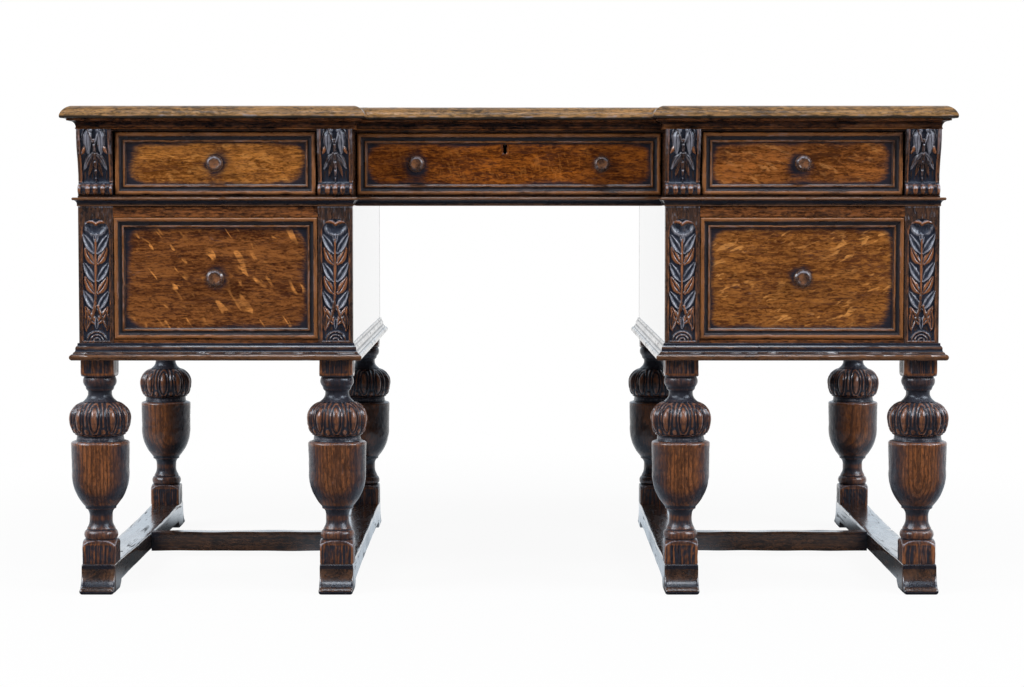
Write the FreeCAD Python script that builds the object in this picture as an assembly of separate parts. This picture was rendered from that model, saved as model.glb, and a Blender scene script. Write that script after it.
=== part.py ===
"""Oak partners desk with a break-front top on two pedestals.

The upper section (top, cornice, frieze with three drawers each side) stands on two pedestals.
Each pedestal holds one deep drawer each side and stands on four cup-and-cover legs, two sledge
feet and a cross stretcher. Front is -Y, the floor is Z = 0, and the desk is the same from behind.
"""
import FreeCAD, Part
import os

os.makedirs("parts", exist_ok=True)
V = FreeCAD.Vector

# ---------------------------------------------------------------- driving dimensions (mm)
HEIGHT = 780.0              # floor to the top's surface
PEDESTAL_W = 438.0
PEDESTAL_D = 822.0
KNEEHOLE_W = 499.0
BREAK = 83.0                # how far the middle of the frieze stands back on each side

TOP_T = 20.0
TOP_OVERHANG = 24.5         # top past the pedestals' outer faces and past the frieze
TOP_INNER_OVERHANG = 21.0   # top past the frieze at the break
TOP_EDGE_W = 18.0           # width of the moulded lipping
CORNICE_H = 17.0
CORNICE_PROJECTION = 15.0
FRIEZE_BOTTOM_Z = 620.5
FRIEZE_MOULD_H = 14.0
FRIEZE_MOULD_PROJECTION = 8.0
PEDESTAL_BOTTOM_Z = 374.3
BASE_MOULD_H = 27.7
BASE_MOULD_PROJECTION = 14.5

BOARD_T = 18.0              # carcase sides, stiles and pedestal bottoms
STILE_W = 55.5              # carved pilasters, and the frieze stiles behind the corbels
PARTITION_T = 12.0
RAIL_T = 22.0
FLOOR_T = 8.0
STILE_SETBACK = 14.0        # frieze stiles behind the frieze rails' face

DRAWER_SIDE_T = 10.0
DRAWER_FRONT_T = 20.0
DRAWER_BOTTOM_T = 6.0
DRAWER_LENGTH = 388.0       # deep drawers and outer frieze drawers
SHORT_DRAWER_LENGTH = 306.0
DRAWER_GAP = 1.0
RUNNER_GAP = 0.2
MOULD_H = 8.5               # drawer mouldings above the drawer's field
MOULD_BAND = 20.5           # their width

LEG_BLOCK = 54.5
LEG_PIN_R = 9.0
FOOT_H = 46.0
FOOT_CLEAR = 12.0           # under the sledge foot between its toes
TOE = 29.0                  # toes past the leg blocks
FOOT_DIP = 5.0
STRETCHER_T = 26.0
STRETCHER_BOTTOM_Z = 10.0
PIN_GAP = 0.1
DOWEL_R = 4.0
DOWEL_Y = 200.0
DOWEL_LOW = 13.5            # how far the dowels go down into the pedestals' sides
DOWEL_HIGH = 11.5           # and up into the upper section

KNOB_R = 13.5
DEEP_KNOB_R = 15.0          # the pedestal drawers have larger knobs
KEYHOLE_X = -6.5
KEYHOLE_DROP = 18.5         # centre of the keyhole's round head below the drawer's top
LOCK_T = 10.0

# ---------------------------------------------------------------- worked out from them
INNER_X = KNEEHOLE_W / 2
OUTER_X = INNER_X + PEDESTAL_W
PEDESTAL_X = INNER_X + PEDESTAL_W / 2
FACE_Y = PEDESTAL_D / 2
CENTRE_FACE_Y = FACE_Y - BREAK
TOP_Z = HEIGHT - TOP_T
CORNICE_Z = TOP_Z - CORNICE_H
RAIL_TOP_Z = FRIEZE_BOTTOM_Z + 16.7
FLOOR_Z = FRIEZE_BOTTOM_Z + 1.5
PEDESTAL_FLOOR_Z = PEDESTAL_BOTTOM_Z + BOARD_T
LEG_INSET = LEG_BLOCK / 2 + 0.5
BASE_RAIL_TOP_Z = PEDESTAL_FLOOR_Z + 14.9
TOP_RAIL = (FRIEZE_BOTTOM_Z - 17.0, FRIEZE_BOTTOM_Z - 1.6)
FRIEZE_LIP_Z = CORNICE_Z - 3.3
CENTRE_DRAWER_FACE_Y = CENTRE_FACE_Y - 1.0
SIDES = (("left", -1), ("right", 1))
FACES = (("front", -1), ("rear", 1))


def box(x0, x1, y0, y1, z0, z1):
    """A board between two corners, given in either order."""
    low = V(min(x0, x1), min(y0, y1), min(z0, z1))
    return Part.makeBox(abs(x1 - x0), abs(y1 - y0), abs(z1 - z0), low)


def mirrored(shape, sx, sy):
    """The shape for +X, +Y taken to the side sx and the face sy."""
    if sx < 0:
        shape = shape.mirror(V(0, 0, 0), V(1, 0, 0))
    if sy < 0:
        shape = shape.mirror(V(0, 0, 0), V(0, 1, 0))
    return shape


def outline(points):
    """A closed face in the XZ plane. A point is (x, z), or (x, z, through_x, through_z) for an arc."""
    edges = []
    last = V(points[0][0], 0, points[0][1])
    for point in points[1:] + [points[0][:2]]:
        end = V(point[0], 0, point[1])
        if last.distanceToPoint(end) < 1e-6:
            continue
        if len(point) == 4:
            edges.append(Part.Arc(last, V(point[2], 0, point[3]), end).toShape())
        else:
            edges.append(Part.makeLine(last, end))
        last = end
    return Part.Face(Part.Wire(edges))


def turned(points):
    """A turned solid about Z from an outline of (radius, z) points."""
    return outline(points).revolve(V(0, 0, 0), V(0, 0, 1), 360)


def mitred_lengths(path, profile):
    """Lengths of moulding round a closed plan path, mitred where it turns.

    The path runs with its outer side on the right. The profile's x is the distance outwards and
    its z the height. Each length is its own solid.
    """
    count = len(path)
    face = outline(profile)
    reach = face.BoundBox.XMax + 1.0
    low, high = face.BoundBox.ZMin - 1, face.BoundBox.ZMax + 1
    lengths = []
    for i in range(count):
        a, b = V(*path[i], 0), V(*path[(i + 1) % count], 0)
        along = (b - a).normalize()
        out = V(along.y, -along.x, 0)
        turns = []
        for corner, other in ((a, path[i - 1]), (b, path[(i + 2) % count])):
            away = V(*other, 0) - corner
            turns.append(1 if away.dot(out) < 0 else -1)
        start = a - along * (reach * turns[0])
        end = b + along * (reach * turns[1])
        plan = Part.makePolygon([a, start + out * reach, end + out * reach, b, a])
        wedge = Part.Face(plan).extrude(V(0, 0, high - low))
        wedge.translate(V(0, 0, low))
        bar = face.copy()
        matrix = FreeCAD.Matrix(out.x, along.x, 0, a.x, out.y, along.y, 0, a.y, 0, 0, 1, 0)
        bar.transformShape(matrix)
        bar.translate(along * -2 * reach)
        bar = bar.extrude(along * ((b - a).Length + 4 * reach))
        lengths += bar.common(wedge).Solids
    return lengths


def rectangle(x0, x1, y0, y1):
    """A plan path with its outer side on the right."""
    return [(x0, y0), (x1, y0), (x1, y1), (x0, y1)]


def breakfront(outer, inner, face, centre_face):
    """The plan of the upper section, with its outer side on the right."""
    return [(-outer, -face), (-inner, -face), (-inner, -centre_face), (inner, -centre_face),
            (inner, -face), (outer, -face), (outer, face), (inner, face), (inner, centre_face),
            (-inner, centre_face), (-inner, face), (-outer, face)]


def save(name, solids):
    """Write one node. Its pieces stay separate solids."""
    pieces = []
    for shape in solids:
        pieces += shape.Solids
    shape = pieces[0] if len(pieces) == 1 else Part.makeCompound(pieces)
    shape.exportStep("parts/%s.step" % name)


# ---------------------------------------------------------------- upper section
def desk_top():
    """Boards of the top inside a mitred lipping with a sloping thumbnail edge."""
    outer = OUTER_X + TOP_OVERHANG
    face = FACE_Y + TOP_OVERHANG
    inner = INNER_X - TOP_INNER_OVERHANG
    centre_face = CENTRE_FACE_Y + TOP_OVERHANG
    w = TOP_EDGE_W
    core = (outer - w, inner + w, face - w, centre_face - w)
    thumbnail = [(0, TOP_Z), (w - 2, TOP_Z), (w, TOP_Z + 2, w - 0.6, TOP_Z + 0.6), (w, TOP_Z + 5),
                 (0.5, HEIGHT, w - 6.6, HEIGHT - 5), (0, HEIGHT)]
    lipping = mitred_lengths(breakfront(*core), thumbnail)
    boards = []
    board_count = 4
    depth = 2 * core[3] / board_count
    for i in range(board_count):
        y = -core[3] + i * depth
        boards.append(box(-core[0], core[0], y, y + depth, TOP_Z, HEIGHT))
    for _, sx in SIDES:
        for _, sy in FACES:
            boards.append(mirrored(box(core[1], core[0], core[3], core[2], TOP_Z, HEIGHT), sx, sy))
    save("desk_top", boards + lipping)


def cornice():
    """Bed moulding under the top: a fillet over a cove."""
    p = CORNICE_PROJECTION
    z = CORNICE_Z
    profile = [(0, z), (2, z), (2, z + 2), (p - 1.5, TOP_Z - 3, 6.6, TOP_Z - 8.5), (p, TOP_Z - 3),
               (p, TOP_Z), (0, TOP_Z)]
    path = breakfront(OUTER_X, INNER_X, FACE_Y, CENTRE_FACE_Y)
    save("cornice_moulding", mitred_lengths(path, profile))


def frieze_base_moulding():
    """Moulding round the foot of the frieze: a bead over a small ogee."""
    p = FRIEZE_MOULD_PROJECTION
    z = FRIEZE_BOTTOM_Z
    top = z + FRIEZE_MOULD_H
    profile = [(0, z), (1.5, z), (1.5, z + 2), (p - 2, top - 4.5, 2.5, top - 7), (p - 0.5, top - 4.5),
               (p - 0.5, top, p + 0.8, top - 2.2), (0, top)]
    path = breakfront(OUTER_X, INNER_X, FACE_Y, CENTRE_FACE_Y)
    save("frieze_base_moulding", mitred_lengths(path, profile))


def dowel_places():
    """Centres of the dowels that seat the upper section on the pedestals' sides."""
    return [(sx * x, sy * DOWEL_Y) for _, sx in SIDES for _, sy in FACES
            for x in (INNER_X + BOARD_T / 2, OUTER_X - BOARD_T / 2)]


def uprights(r, low, high):
    """Dowels, or the holes for them, between two heights."""
    return [Part.makeCylinder(r, high - low, V(x, y, low)) for x, y in dowel_places()]


def dowel_holes(low, high):
    return Part.makeCompound(uprights(DOWEL_R + PIN_GAP, low, high))


def bolt_mortise():
    """Where the lock's bolt goes up into the front rail over the middle drawer."""
    y = -CENTRE_DRAWER_FACE_Y + MOULD_H + DRAWER_FRONT_T - LOCK_T / 2
    return box(KEYHOLE_X - 17, KEYHOLE_X + 17, y - 4.5, y + 4.5, FRIEZE_LIP_Z, FRIEZE_LIP_Z + 12)


def frieze_carcase():
    """Ends, stiles, rails, floors, partitions and drawer runners of the frieze."""
    boards = []
    back = FACE_Y - RAIL_T
    centre_back = CENTRE_FACE_Y - RAIL_T
    stile_face = FACE_Y - STILE_SETBACK
    stile_back = stile_face - BOARD_T
    opening = INNER_X + STILE_W, OUTER_X - STILE_W
    for _, sx in SIDES:
        for x in (INNER_X, OUTER_X - BOARD_T):
            end = box(x, x + BOARD_T, -stile_back, stile_back, RAIL_TOP_Z, CORNICE_Z)
            boards.append(mirrored(end, sx, 1))
            sill = box(x, x + BOARD_T, -back, back, FRIEZE_BOTTOM_Z, RAIL_TOP_Z)
            sill = mirrored(sill, sx, 1).cut(dowel_holes(FRIEZE_BOTTOM_Z, FRIEZE_BOTTOM_Z + DOWEL_HIGH + 0.7))
            boards.append(sill)
            head = box(x, x + BOARD_T, -back, back, CORNICE_Z, TOP_Z)
            boards.append(mirrored(head, sx, 1))
        floor = box(INNER_X + BOARD_T, OUTER_X - BOARD_T, -back, back, FLOOR_Z, FLOOR_Z + FLOOR_T)
        boards.append(mirrored(floor, sx, 1))
        partition = box(INNER_X + BOARD_T, OUTER_X - BOARD_T, -PARTITION_T / 2, PARTITION_T / 2,
                        FLOOR_Z + FLOOR_T, TOP_Z)
        boards.append(mirrored(partition, sx, 1))
        for _, sy in FACES:
            for x in (INNER_X, opening[1]):
                stile = box(x, x + STILE_W, stile_back, stile_face, RAIL_TOP_Z, CORNICE_Z)
                boards.append(mirrored(stile, sx, sy))
            boards.append(mirrored(box(INNER_X, OUTER_X, back, FACE_Y, FRIEZE_BOTTOM_Z, RAIL_TOP_Z), sx, sy))
            rail = box(INNER_X, OUTER_X, back, FACE_Y, CORNICE_Z, TOP_Z)
            lip = box(opening[0], opening[1], back, FACE_Y - 1, FRIEZE_LIP_Z, CORNICE_Z)
            boards.append(mirrored(rail.fuse(lip).removeSplitter(), sx, sy))
            for x0, x1, guide in ((INNER_X + BOARD_T, opening[0] + 14, opening[0] + 3.0),
                                  (OUTER_X - BOARD_T, opening[1] - 14, opening[1] - 3.0)):
                y0, y1 = PARTITION_T / 2, back
                runner = box(x0, x1, y0, y1, FLOOR_Z + FLOOR_T, RAIL_TOP_Z)
                boards.append(mirrored(runner, sx, sy))
                strip = box(x0, guide, y0, stile_back - 1, RAIL_TOP_Z, RAIL_TOP_Z + 22)
                boards.append(mirrored(strip, sx, sy))
    boards.append(box(-INNER_X, INNER_X, -centre_back, centre_back, FLOOR_Z, FLOOR_Z + FLOOR_T))
    boards.append(box(-INNER_X, INNER_X, -PARTITION_T / 2, PARTITION_T / 2, FLOOR_Z + FLOOR_T, TOP_Z))
    for _, sy in FACES:
        low = box(-INNER_X, INNER_X, centre_back, CENTRE_FACE_Y, FRIEZE_BOTTOM_Z, RAIL_TOP_Z)
        boards.append(mirrored(low, 1, sy))
        high = box(-INNER_X, INNER_X, centre_back - 8, CENTRE_FACE_Y, FRIEZE_LIP_Z, TOP_Z)
        boards.append(mirrored(high, 1, sy).cut(bolt_mortise()))
        for _, sx in SIDES:
            runner = box(INNER_X - 20, INNER_X, PARTITION_T / 2, centre_back, FLOOR_Z + FLOOR_T, RAIL_TOP_Z)
            boards.append(mirrored(runner, sx, sy))
    save("frieze_carcase", boards)


def corbels():
    """Eight consoles on the frieze stiles, with a swept front and a scroll at the foot."""
    z0, z1 = RAIL_TOP_Z, CORNICE_Z
    full = STILE_SETBACK + 13
    side = [(0, z0), (14, z0), (19.5, z0 + 9, 19.0, z0 + 3.2), (13, z0 + 18.5, 18.6, z0 + 15.6),
            (8, z0 + 25, 9.4, z0 + 20.6), (19.5, z0 + 67, 11.6, z0 + 46.5), (full, z1 - 12, 24.8, z0 + 82),
            (full, z1), (0, z1)]
    shape = outline(side).extrude(V(0, STILE_W, 0))
    shape.rotate(V(0, 0, 0), V(0, 0, 1), 90)
    group = []
    for _, sx in SIDES:
        for _, sy in FACES:
            for x in (INNER_X + STILE_W, OUTER_X):
                piece = shape.copy()
                piece.translate(V(x, FACE_Y - STILE_SETBACK, 0))
                group.append(mirrored(piece, sx, sy))
    save("corbels", group)


# ---------------------------------------------------------------- pedestals
def pedestal_case(name, sx):
    """Side boards, bottom board and middle partition."""
    side_y = FACE_Y - BOARD_T
    holes = dowel_holes(FRIEZE_BOTTOM_Z - DOWEL_LOW - 0.5, FRIEZE_BOTTOM_Z)
    boards = []
    for x in (INNER_X, OUTER_X - BOARD_T):
        side = box(x, x + BOARD_T, -side_y, side_y, PEDESTAL_BOTTOM_Z, FRIEZE_BOTTOM_Z)
        boards.append(mirrored(side, sx, 1).cut(holes))
    x0, x1 = INNER_X + BOARD_T, OUTER_X - BOARD_T
    bottom = box(x0, x1, -side_y, side_y, PEDESTAL_BOTTOM_Z, PEDESTAL_FLOOR_Z)
    for x, y in leg_places():
        bottom = bottom.cut(Part.makeCylinder(LEG_PIN_R + PIN_GAP, BOARD_T, V(x, y, PEDESTAL_BOTTOM_Z)))
    boards.append(mirrored(bottom, sx, 1))
    boards.append(mirrored(box(x0, x1, -PARTITION_T / 2, PARTITION_T / 2, PEDESTAL_FLOOR_Z,
                               FRIEZE_BOTTOM_Z), sx, 1))
    save(name + "_pedestal_case", boards)


def pilasters(name, sx):
    """Corner stiles with a round-headed sunk panel for the carving."""
    panel_half, panel_low, panel_high, sunk = 21.5, 407.5, 601.0, 4.0
    group = []
    for _, sy in FACES:
        for x in (INNER_X, OUTER_X - STILE_W):
            stile = box(x, x + STILE_W, FACE_Y - BOARD_T, FACE_Y, PEDESTAL_BOTTOM_Z, FRIEZE_BOTTOM_Z - 0.3)
            middle = x + STILE_W / 2
            spring = panel_high - panel_half
            panel = outline([(middle - panel_half, panel_low), (middle + panel_half, panel_low),
                             (middle + panel_half, spring),
                             (middle - panel_half, spring, middle, panel_high)])
            panel.translate(V(0, FACE_Y - sunk, 0))
            group.append(mirrored(stile.cut(panel.extrude(V(0, sunk, 0))), sx, sy))
    save(name + "_pedestal_pilasters", group)


def pedestal_rails(name, sx):
    """Rails over and under the drawers, kickers, runners and guides."""
    x0, x1 = INNER_X + STILE_W, OUTER_X - STILE_W
    runner_z = BASE_RAIL_TOP_Z
    group = []
    for _, sy in FACES:
        for z0, z1 in ((PEDESTAL_FLOOR_Z, runner_z), TOP_RAIL):
            group.append(mirrored(box(x0, x1, FACE_Y - BOARD_T, FACE_Y - 1.5, z0, z1), sx, sy))
        group.append(mirrored(box(x0, x1, FACE_Y - BOARD_T, FACE_Y, PEDESTAL_BOTTOM_Z,
                                  PEDESTAL_FLOOR_Z), sx, sy))
        y0, y1 = PARTITION_T / 2, FACE_Y - BOARD_T
        for edge, inward, side in ((x0, 14, INNER_X + BOARD_T), (x1, -14, OUTER_X - BOARD_T)):
            pin_end = LEG_BLOCK - BOARD_T
            runner = box(side, edge + inward, y0, y1 - pin_end, PEDESTAL_FLOOR_Z, runner_z)
            guide = box(side, edge, y0, y1, runner_z, runner_z + 24)
            kicker = box(side, edge + inward, y0, y1, *TOP_RAIL)
            group += [mirrored(piece, sx, sy) for piece in (runner, guide, kicker)]
            group.append(mirrored(box(edge, edge + inward, y1 - pin_end, y1, PEDESTAL_FLOOR_Z,
                                      runner_z), sx, sy))
    save(name + "_pedestal_rails", group)


def base_moulding(name, sx):
    """Moulding round the foot of a pedestal: fillet, ogee and torus."""
    p, z = BASE_MOULD_PROJECTION, PEDESTAL_BOTTOM_Z
    profile = [(0, z), (p - 4, z), (p - 4, z + 10, p, z + 5), (p - 5.5, z + 10), (p - 5.5, z + 12.5),
               (p - 9, z + 17.5, p - 8.3, z + 14.2), (2.5, z + 23.5, p - 9.8, z + 21.8),
               (2.5, z + BASE_MOULD_H), (0, z + BASE_MOULD_H)]
    lengths = mitred_lengths(rectangle(INNER_X, OUTER_X, -FACE_Y, FACE_Y), profile)
    save(name + "_base_moulding", [mirrored(piece, sx, 1) for piece in lengths])


# ---------------------------------------------------------------- stand
def leg_places():
    """Axes of the right pedestal's four legs."""
    return [(x, sy * (FACE_Y - LEG_INSET)) for sy in (-1, 1)
            for x in (INNER_X + LEG_INSET, OUTER_X - LEG_INSET)]


def leg():
    """Cup-and-cover leg between two square blocks, with a turned pin at each end."""
    half = LEG_BLOCK / 2
    corner = half * 1.42
    top = PEDESTAL_BOTTOM_Z
    turning = [
        (0, FOOT_H), (corner, FOOT_H), (corner, 70), (27.2, 83.5, 36.0, 79.3), (24.2, 83.5),
        (24.2, 98.5, 27.4, 91), (23.0, 98.5), (23.0, 101.5), (18.6, 113.5, 19.7, 107.8), (18.6, 122.5),
        (23.2, 133.0, 19.9, 128.4), (25.0, 133.0), (25.0, 136.5), (46.0, 196.0, 40.3, 160.0),
        (46.9, 237.0), (44.6, 241.8, 46.3, 240.7), (38.6, 243.6), (37.4, 251.5), (43.2, 254.6),
        (49.0, 273.5, 47.4, 263.5), (27.5, 306.0, 44.0, 295.8), (25.0, 308.5), (19.2, 319.0, 20.8, 313.2),
        (19.2, 323.0), (22.6, 326.2), (23.4, 330.4), (24.4, 331.4), (24.4, 347.0, 27.2, 339.5),
        (27.2, 347.0), (corner, 356.0, 35.6, 349.8), (corner, top), (0, top)]
    block = box(-half, half, -half, half, FOOT_H, top)
    body = turned(turning).common(block.fuse(Part.makeCylinder(50, 260, V(0, 0, 85))))
    pin_low = Part.makeCylinder(LEG_PIN_R, FOOT_H - FOOT_CLEAR, V(0, 0, FOOT_CLEAR))
    pin_high = Part.makeCylinder(LEG_PIN_R, BOARD_T - 1, V(0, 0, top))
    return body.fuse([pin_low, pin_high]).removeSplitter()


def legs(name, sx):
    shape = leg()
    places = ((INNER_X + LEG_INSET, "inner"), (OUTER_X - LEG_INSET, "outer"))
    for face, sy in FACES:
        for x, place in places:
            piece = shape.copy()
            piece.translate(V(sx * x, sy * (FACE_Y - LEG_INSET), 0))
            save("%s_%s_%s_leg" % (name, place, face), [piece])


def sledge_foot(name, place, x, inward):
    """A long foot under a pair of legs, with swept toes and pads at both ends."""
    half_w = LEG_BLOCK / 2
    toe_y = FACE_Y + TOE
    pad_y = FACE_Y - 45
    block_y = FACE_Y - LEG_BLOCK - 4
    half = outline([(0, FOOT_CLEAR), (pad_y - 20, FOOT_CLEAR), (pad_y, 0), (toe_y - 5, 0),
                    (toe_y, 5, toe_y - 1.5, 1.5), (toe_y - 1.5, 17, toe_y, 11.5),
                    (FACE_Y + 3, FOOT_H - 2.5, FACE_Y + 8.5, 29.0), (FACE_Y + 3, FOOT_H),
                    (block_y, FOOT_H), (0, FOOT_H - FOOT_DIP, block_y / 2, FOOT_H - FOOT_DIP * 0.75)])
    bar = half.extrude(V(0, LEG_BLOCK, 0))
    bar.rotate(V(0, 0, 0), V(0, 0, 1), 90)
    bar = bar.fuse(mirrored(bar, 1, -1)).removeSplitter()
    bar.translate(V(x + half_w, 0, 0))
    for sy in (-1, 1):
        bar = bar.cut(Part.makeCylinder(LEG_PIN_R + PIN_GAP, 60, V(x, sy * (FACE_Y - LEG_INSET), -1)))
    face = x + inward * half_w
    bar = bar.cut(box(face, face - inward * 18.5, -6, 6, STRETCHER_BOTTOM_Z + 8, FOOT_H - 12))
    save("%s_%s_foot" % (name, place), [bar])


def stretcher(name, sx):
    """Cross rail tenoned between the two sledge feet at mid-depth."""
    x0 = INNER_X + LEG_INSET + LEG_BLOCK / 2
    x1 = OUTER_X - LEG_INSET - LEG_BLOCK / 2
    rail = box(x0, x1, -STRETCHER_T / 2, STRETCHER_T / 2, STRETCHER_BOTTOM_Z, FOOT_H - 2)
    tenon = box(x0 - 18, x1 + 18, -5.9, 5.9, STRETCHER_BOTTOM_Z + 8.1, FOOT_H - 12.1)
    save(name + "_stretcher", [mirrored(rail.fuse(tenon).removeSplitter(), sx, 1)])


# ---------------------------------------------------------------- drawers
def drawer_moulding(width, height):
    """Mitred frame on a drawer front: an outer bead, a cove and a small inner bead.

    Made lying down: Z is the height above the field, and the frame is centred on the origin.
    """
    band = MOULD_BAND
    w, h = width / 2, height / 2
    path = rectangle(-w + band, w - band, -h + band, h - band)
    profile = [(0, 0), (band, 0), (band, MOULD_H - 2), (band - 4.5, MOULD_H - 2, band - 2.25, MOULD_H),
               (band - 4.8, MOULD_H - 3.5), (7.6, 2.6, band - 8.2, MOULD_H - 5.0), (7.3, 3.6),
               (3.8, 3.6, 5.55, 5.0), (3.5, 1.4), (0, 0.8)]
    return mitred_lengths(path, profile)


def knob(r):
    """Turned knob standing along +Z from the drawer's field, dished in front, with a pin behind."""
    k = r / KNOB_R
    return turned([(0, -18), (4.9, -18), (4.9, 0), (11.0, 0), (11.0, 1.2), (7.4, 6.4, 8.2, 3.2),
                   (7.8, 9.0), (r, 16.0, 11.9 * k, 11.6), (10.8 * k, 22.4, 13.0 * k, 19.8),
                   (8.4 * k, 24.2, 9.8 * k, 23.9), (7.2 * k, 23.4), (0, 22.0)])


def dovetails(low, high):
    """Tails in the YZ plane, widening towards the front, between two heights."""
    count = max(2, round((high - low) / 42))
    pitch = (high - low) / count
    tails = []
    for i in range(count):
        z = low + (i + 0.5) * pitch
        narrow, wide = pitch * 0.28, pitch * 0.38
        shape = Part.makePolygon([V(0, 0, z - narrow), V(0, -14, z - wide), V(0, -14, z + wide),
                                  V(0, 0, z + narrow), V(0, 0, z - narrow)])
        tails.append(Part.Face(shape).extrude(V(DRAWER_SIDE_T, 0, 0)))
    return tails


def stand_up(shape, field_y):
    """Take a piece made lying down to a front whose field faces -Y at field_y."""
    shape = shape.copy()
    shape.rotate(V(0, 0, 0), V(1, 0, 0), 90)
    shape.translate(V(0, field_y, 0))
    return shape


def drawer(name, x, sy, face_y, width, z0, z1, length, knob_xs, knob_r=KNOB_R, locked=False):
    """One drawer: moulded front, dovetailed box and turned knobs. Made facing -Y, then turned."""
    height = z1 - z0
    field_y = -face_y + MOULD_H
    back_y = field_y + DRAWER_FRONT_T
    end_y = -face_y + length
    half = width / 2
    side_low, side_high = z0 - 0.9, z1 - 3
    inner = half - DRAWER_SIDE_T
    tails = dovetails(z0 + 4, side_high - 2)

    board = box(-half, half, field_y, back_y, z0, z1)
    frame = []
    for piece in drawer_moulding(width, height):
        piece = stand_up(piece, field_y)
        piece.translate(V(0, 0, z0 + height / 2))
        frame.append(piece)
    sides = []
    groove_z = side_low + 8
    for sign in (-1, 1):
        side = box(inner, half, back_y, end_y, side_low, side_high)
        side = side.cut(box(inner, inner + 4, back_y, end_y, groove_z, groove_z + DRAWER_BOTTOM_T))
        for tail in tails:
            tail = tail.copy()
            tail.translate(V(inner, back_y, 0))
            side = side.fuse(tail)
            board = board.cut(mirrored(tail, sign, 1))
        sides.append(mirrored(side.removeSplitter(), sign, 1))
    back = box(-inner, inner, end_y - DRAWER_SIDE_T, end_y, groove_z + DRAWER_BOTTOM_T, side_high - 6)
    bottom = box(-inner - 4, inner + 4, back_y, end_y, groove_z, groove_z + DRAWER_BOTTOM_T)
    knobs = []
    for knob_x in knob_xs:
        board = board.cut(stand_up(Part.makeCylinder(5.0, 30, V(knob_x, 0, -25)), field_y)
                          .translated(V(0, 0, z0 + height / 2)))
        piece = knob(knob_r)
        piece.translate(V(knob_x, 0, 0))
        piece = stand_up(piece, field_y)
        piece.translate(V(0, 0, z0 + height / 2))
        knobs.append(piece)
    if locked:
        board = board.cut(keyhole(field_y, z1)).cut(lock_body(back_y, z1, 0.2))
        lock(back_y, z1)
    groups = {"front": [board] + frame, "box": sides + [back, bottom],
              "knob" if len(knobs) == 1 else "knobs": knobs}
    for suffix, pieces in groups.items():
        placed = []
        for piece in pieces:
            piece = piece.copy()
            if sy > 0:
                piece.rotate(V(0, 0, 0), V(0, 0, 1), 180)
            piece.translate(V(x, 0, 0))
            placed.append(piece)
        save("%s_%s" % (name, suffix), placed)


def keyhole(field_y, top):
    """Round head over a slot, cut through the front."""
    z = top - KEYHOLE_DROP
    head = Part.makeCylinder(3.7, DRAWER_FRONT_T + 2, V(KEYHOLE_X, field_y - 1, z), V(0, 1, 0))
    slot = box(KEYHOLE_X - 1.8, KEYHOLE_X + 1.8, field_y - 1, field_y + DRAWER_FRONT_T + 1, z - 12.4, z)
    return head.fuse(slot)


def lock_body(back_y, top, gap):
    """The space for the lock let into the back of the front."""
    return box(KEYHOLE_X - 30 - gap, KEYHOLE_X + 30 + gap, back_y - LOCK_T - gap, back_y,
               top - 44 - gap, top)


def lock(back_y, top):
    """Drawer lock: an iron case with a pin for the key, and its bolt drawn down in a slot."""
    y = back_y - LOCK_T / 2
    slot = box(KEYHOLE_X - 14.3, KEYHOLE_X + 14.3, y - 2.8, y + 2.8, top - 13, top)
    pin = Part.makeCylinder(1.5, 7, V(KEYHOLE_X, y - LOCK_T / 2 - 7, top - KEYHOLE_DROP), V(0, 1, 0))
    save("drawer_lock_case", [lock_body(back_y, top, 0).cut(slot).fuse(pin)])
    save("drawer_lock_bolt", [box(KEYHOLE_X - 14, KEYHOLE_X + 14, y - 2.5, y + 2.5, top - 12.5, top - 0.5)])


def drawers():
    deep_z = BASE_RAIL_TOP_Z + RUNNER_GAP + 0.9, TOP_RAIL[0] - DRAWER_GAP
    frieze_z = RAIL_TOP_Z + RUNNER_GAP + 0.9, FRIEZE_LIP_Z - 1.3
    for face, sy in FACES:
        for side, sx in SIDES:
            drawer("%s_%s_pedestal_drawer" % (face, side), sx * PEDESTAL_X, sy, FACE_Y + 0.5,
                   PEDESTAL_W - 2 * STILE_W - 2 * DRAWER_GAP, *deep_z, DRAWER_LENGTH, (0,), DEEP_KNOB_R)
            drawer("%s_%s_frieze_drawer" % (face, side), sx * PEDESTAL_X, sy, FACE_Y - 2,
                   320.0, *frieze_z, DRAWER_LENGTH, (0,))
        drawer("%s_centre_frieze_drawer" % face, 0, sy, CENTRE_DRAWER_FACE_Y, KNEEHOLE_W - 4,
               *frieze_z, SHORT_DRAWER_LENGTH, (-150.5, 150.5), locked=sy < 0)


desk_top()
cornice()
frieze_base_moulding()
frieze_carcase()
corbels()
save("locating_dowels", uprights(DOWEL_R, FRIEZE_BOTTOM_Z - DOWEL_LOW, FRIEZE_BOTTOM_Z + DOWEL_HIGH))
for side_name, side_sign in SIDES:
    pedestal_case(side_name, side_sign)
    pilasters(side_name, side_sign)
    pedestal_rails(side_name, side_sign)
    base_moulding(side_name, side_sign)
    legs(side_name, side_sign)
    stretcher(side_name, side_sign)
    sledge_foot(side_name, "inner", side_sign * (INNER_X + LEG_INSET), side_sign)
    sledge_foot(side_name, "outer", side_sign * (OUTER_X - LEG_INSET), -side_sign)
drawers()
print("nodes:", len(os.listdir("parts")))
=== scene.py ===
"""Looks of an oak partners desk in the Jacobean manner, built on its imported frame.

The sections follow the desk as it is put together: the stand, the two pedestals, the upper section,
the top, the drawers, and last the floor, the light and the camera. Lengths are metres, apart from
carving and profiles, which are drawn in millimetres and scaled by MM.
"""
import math

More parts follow.
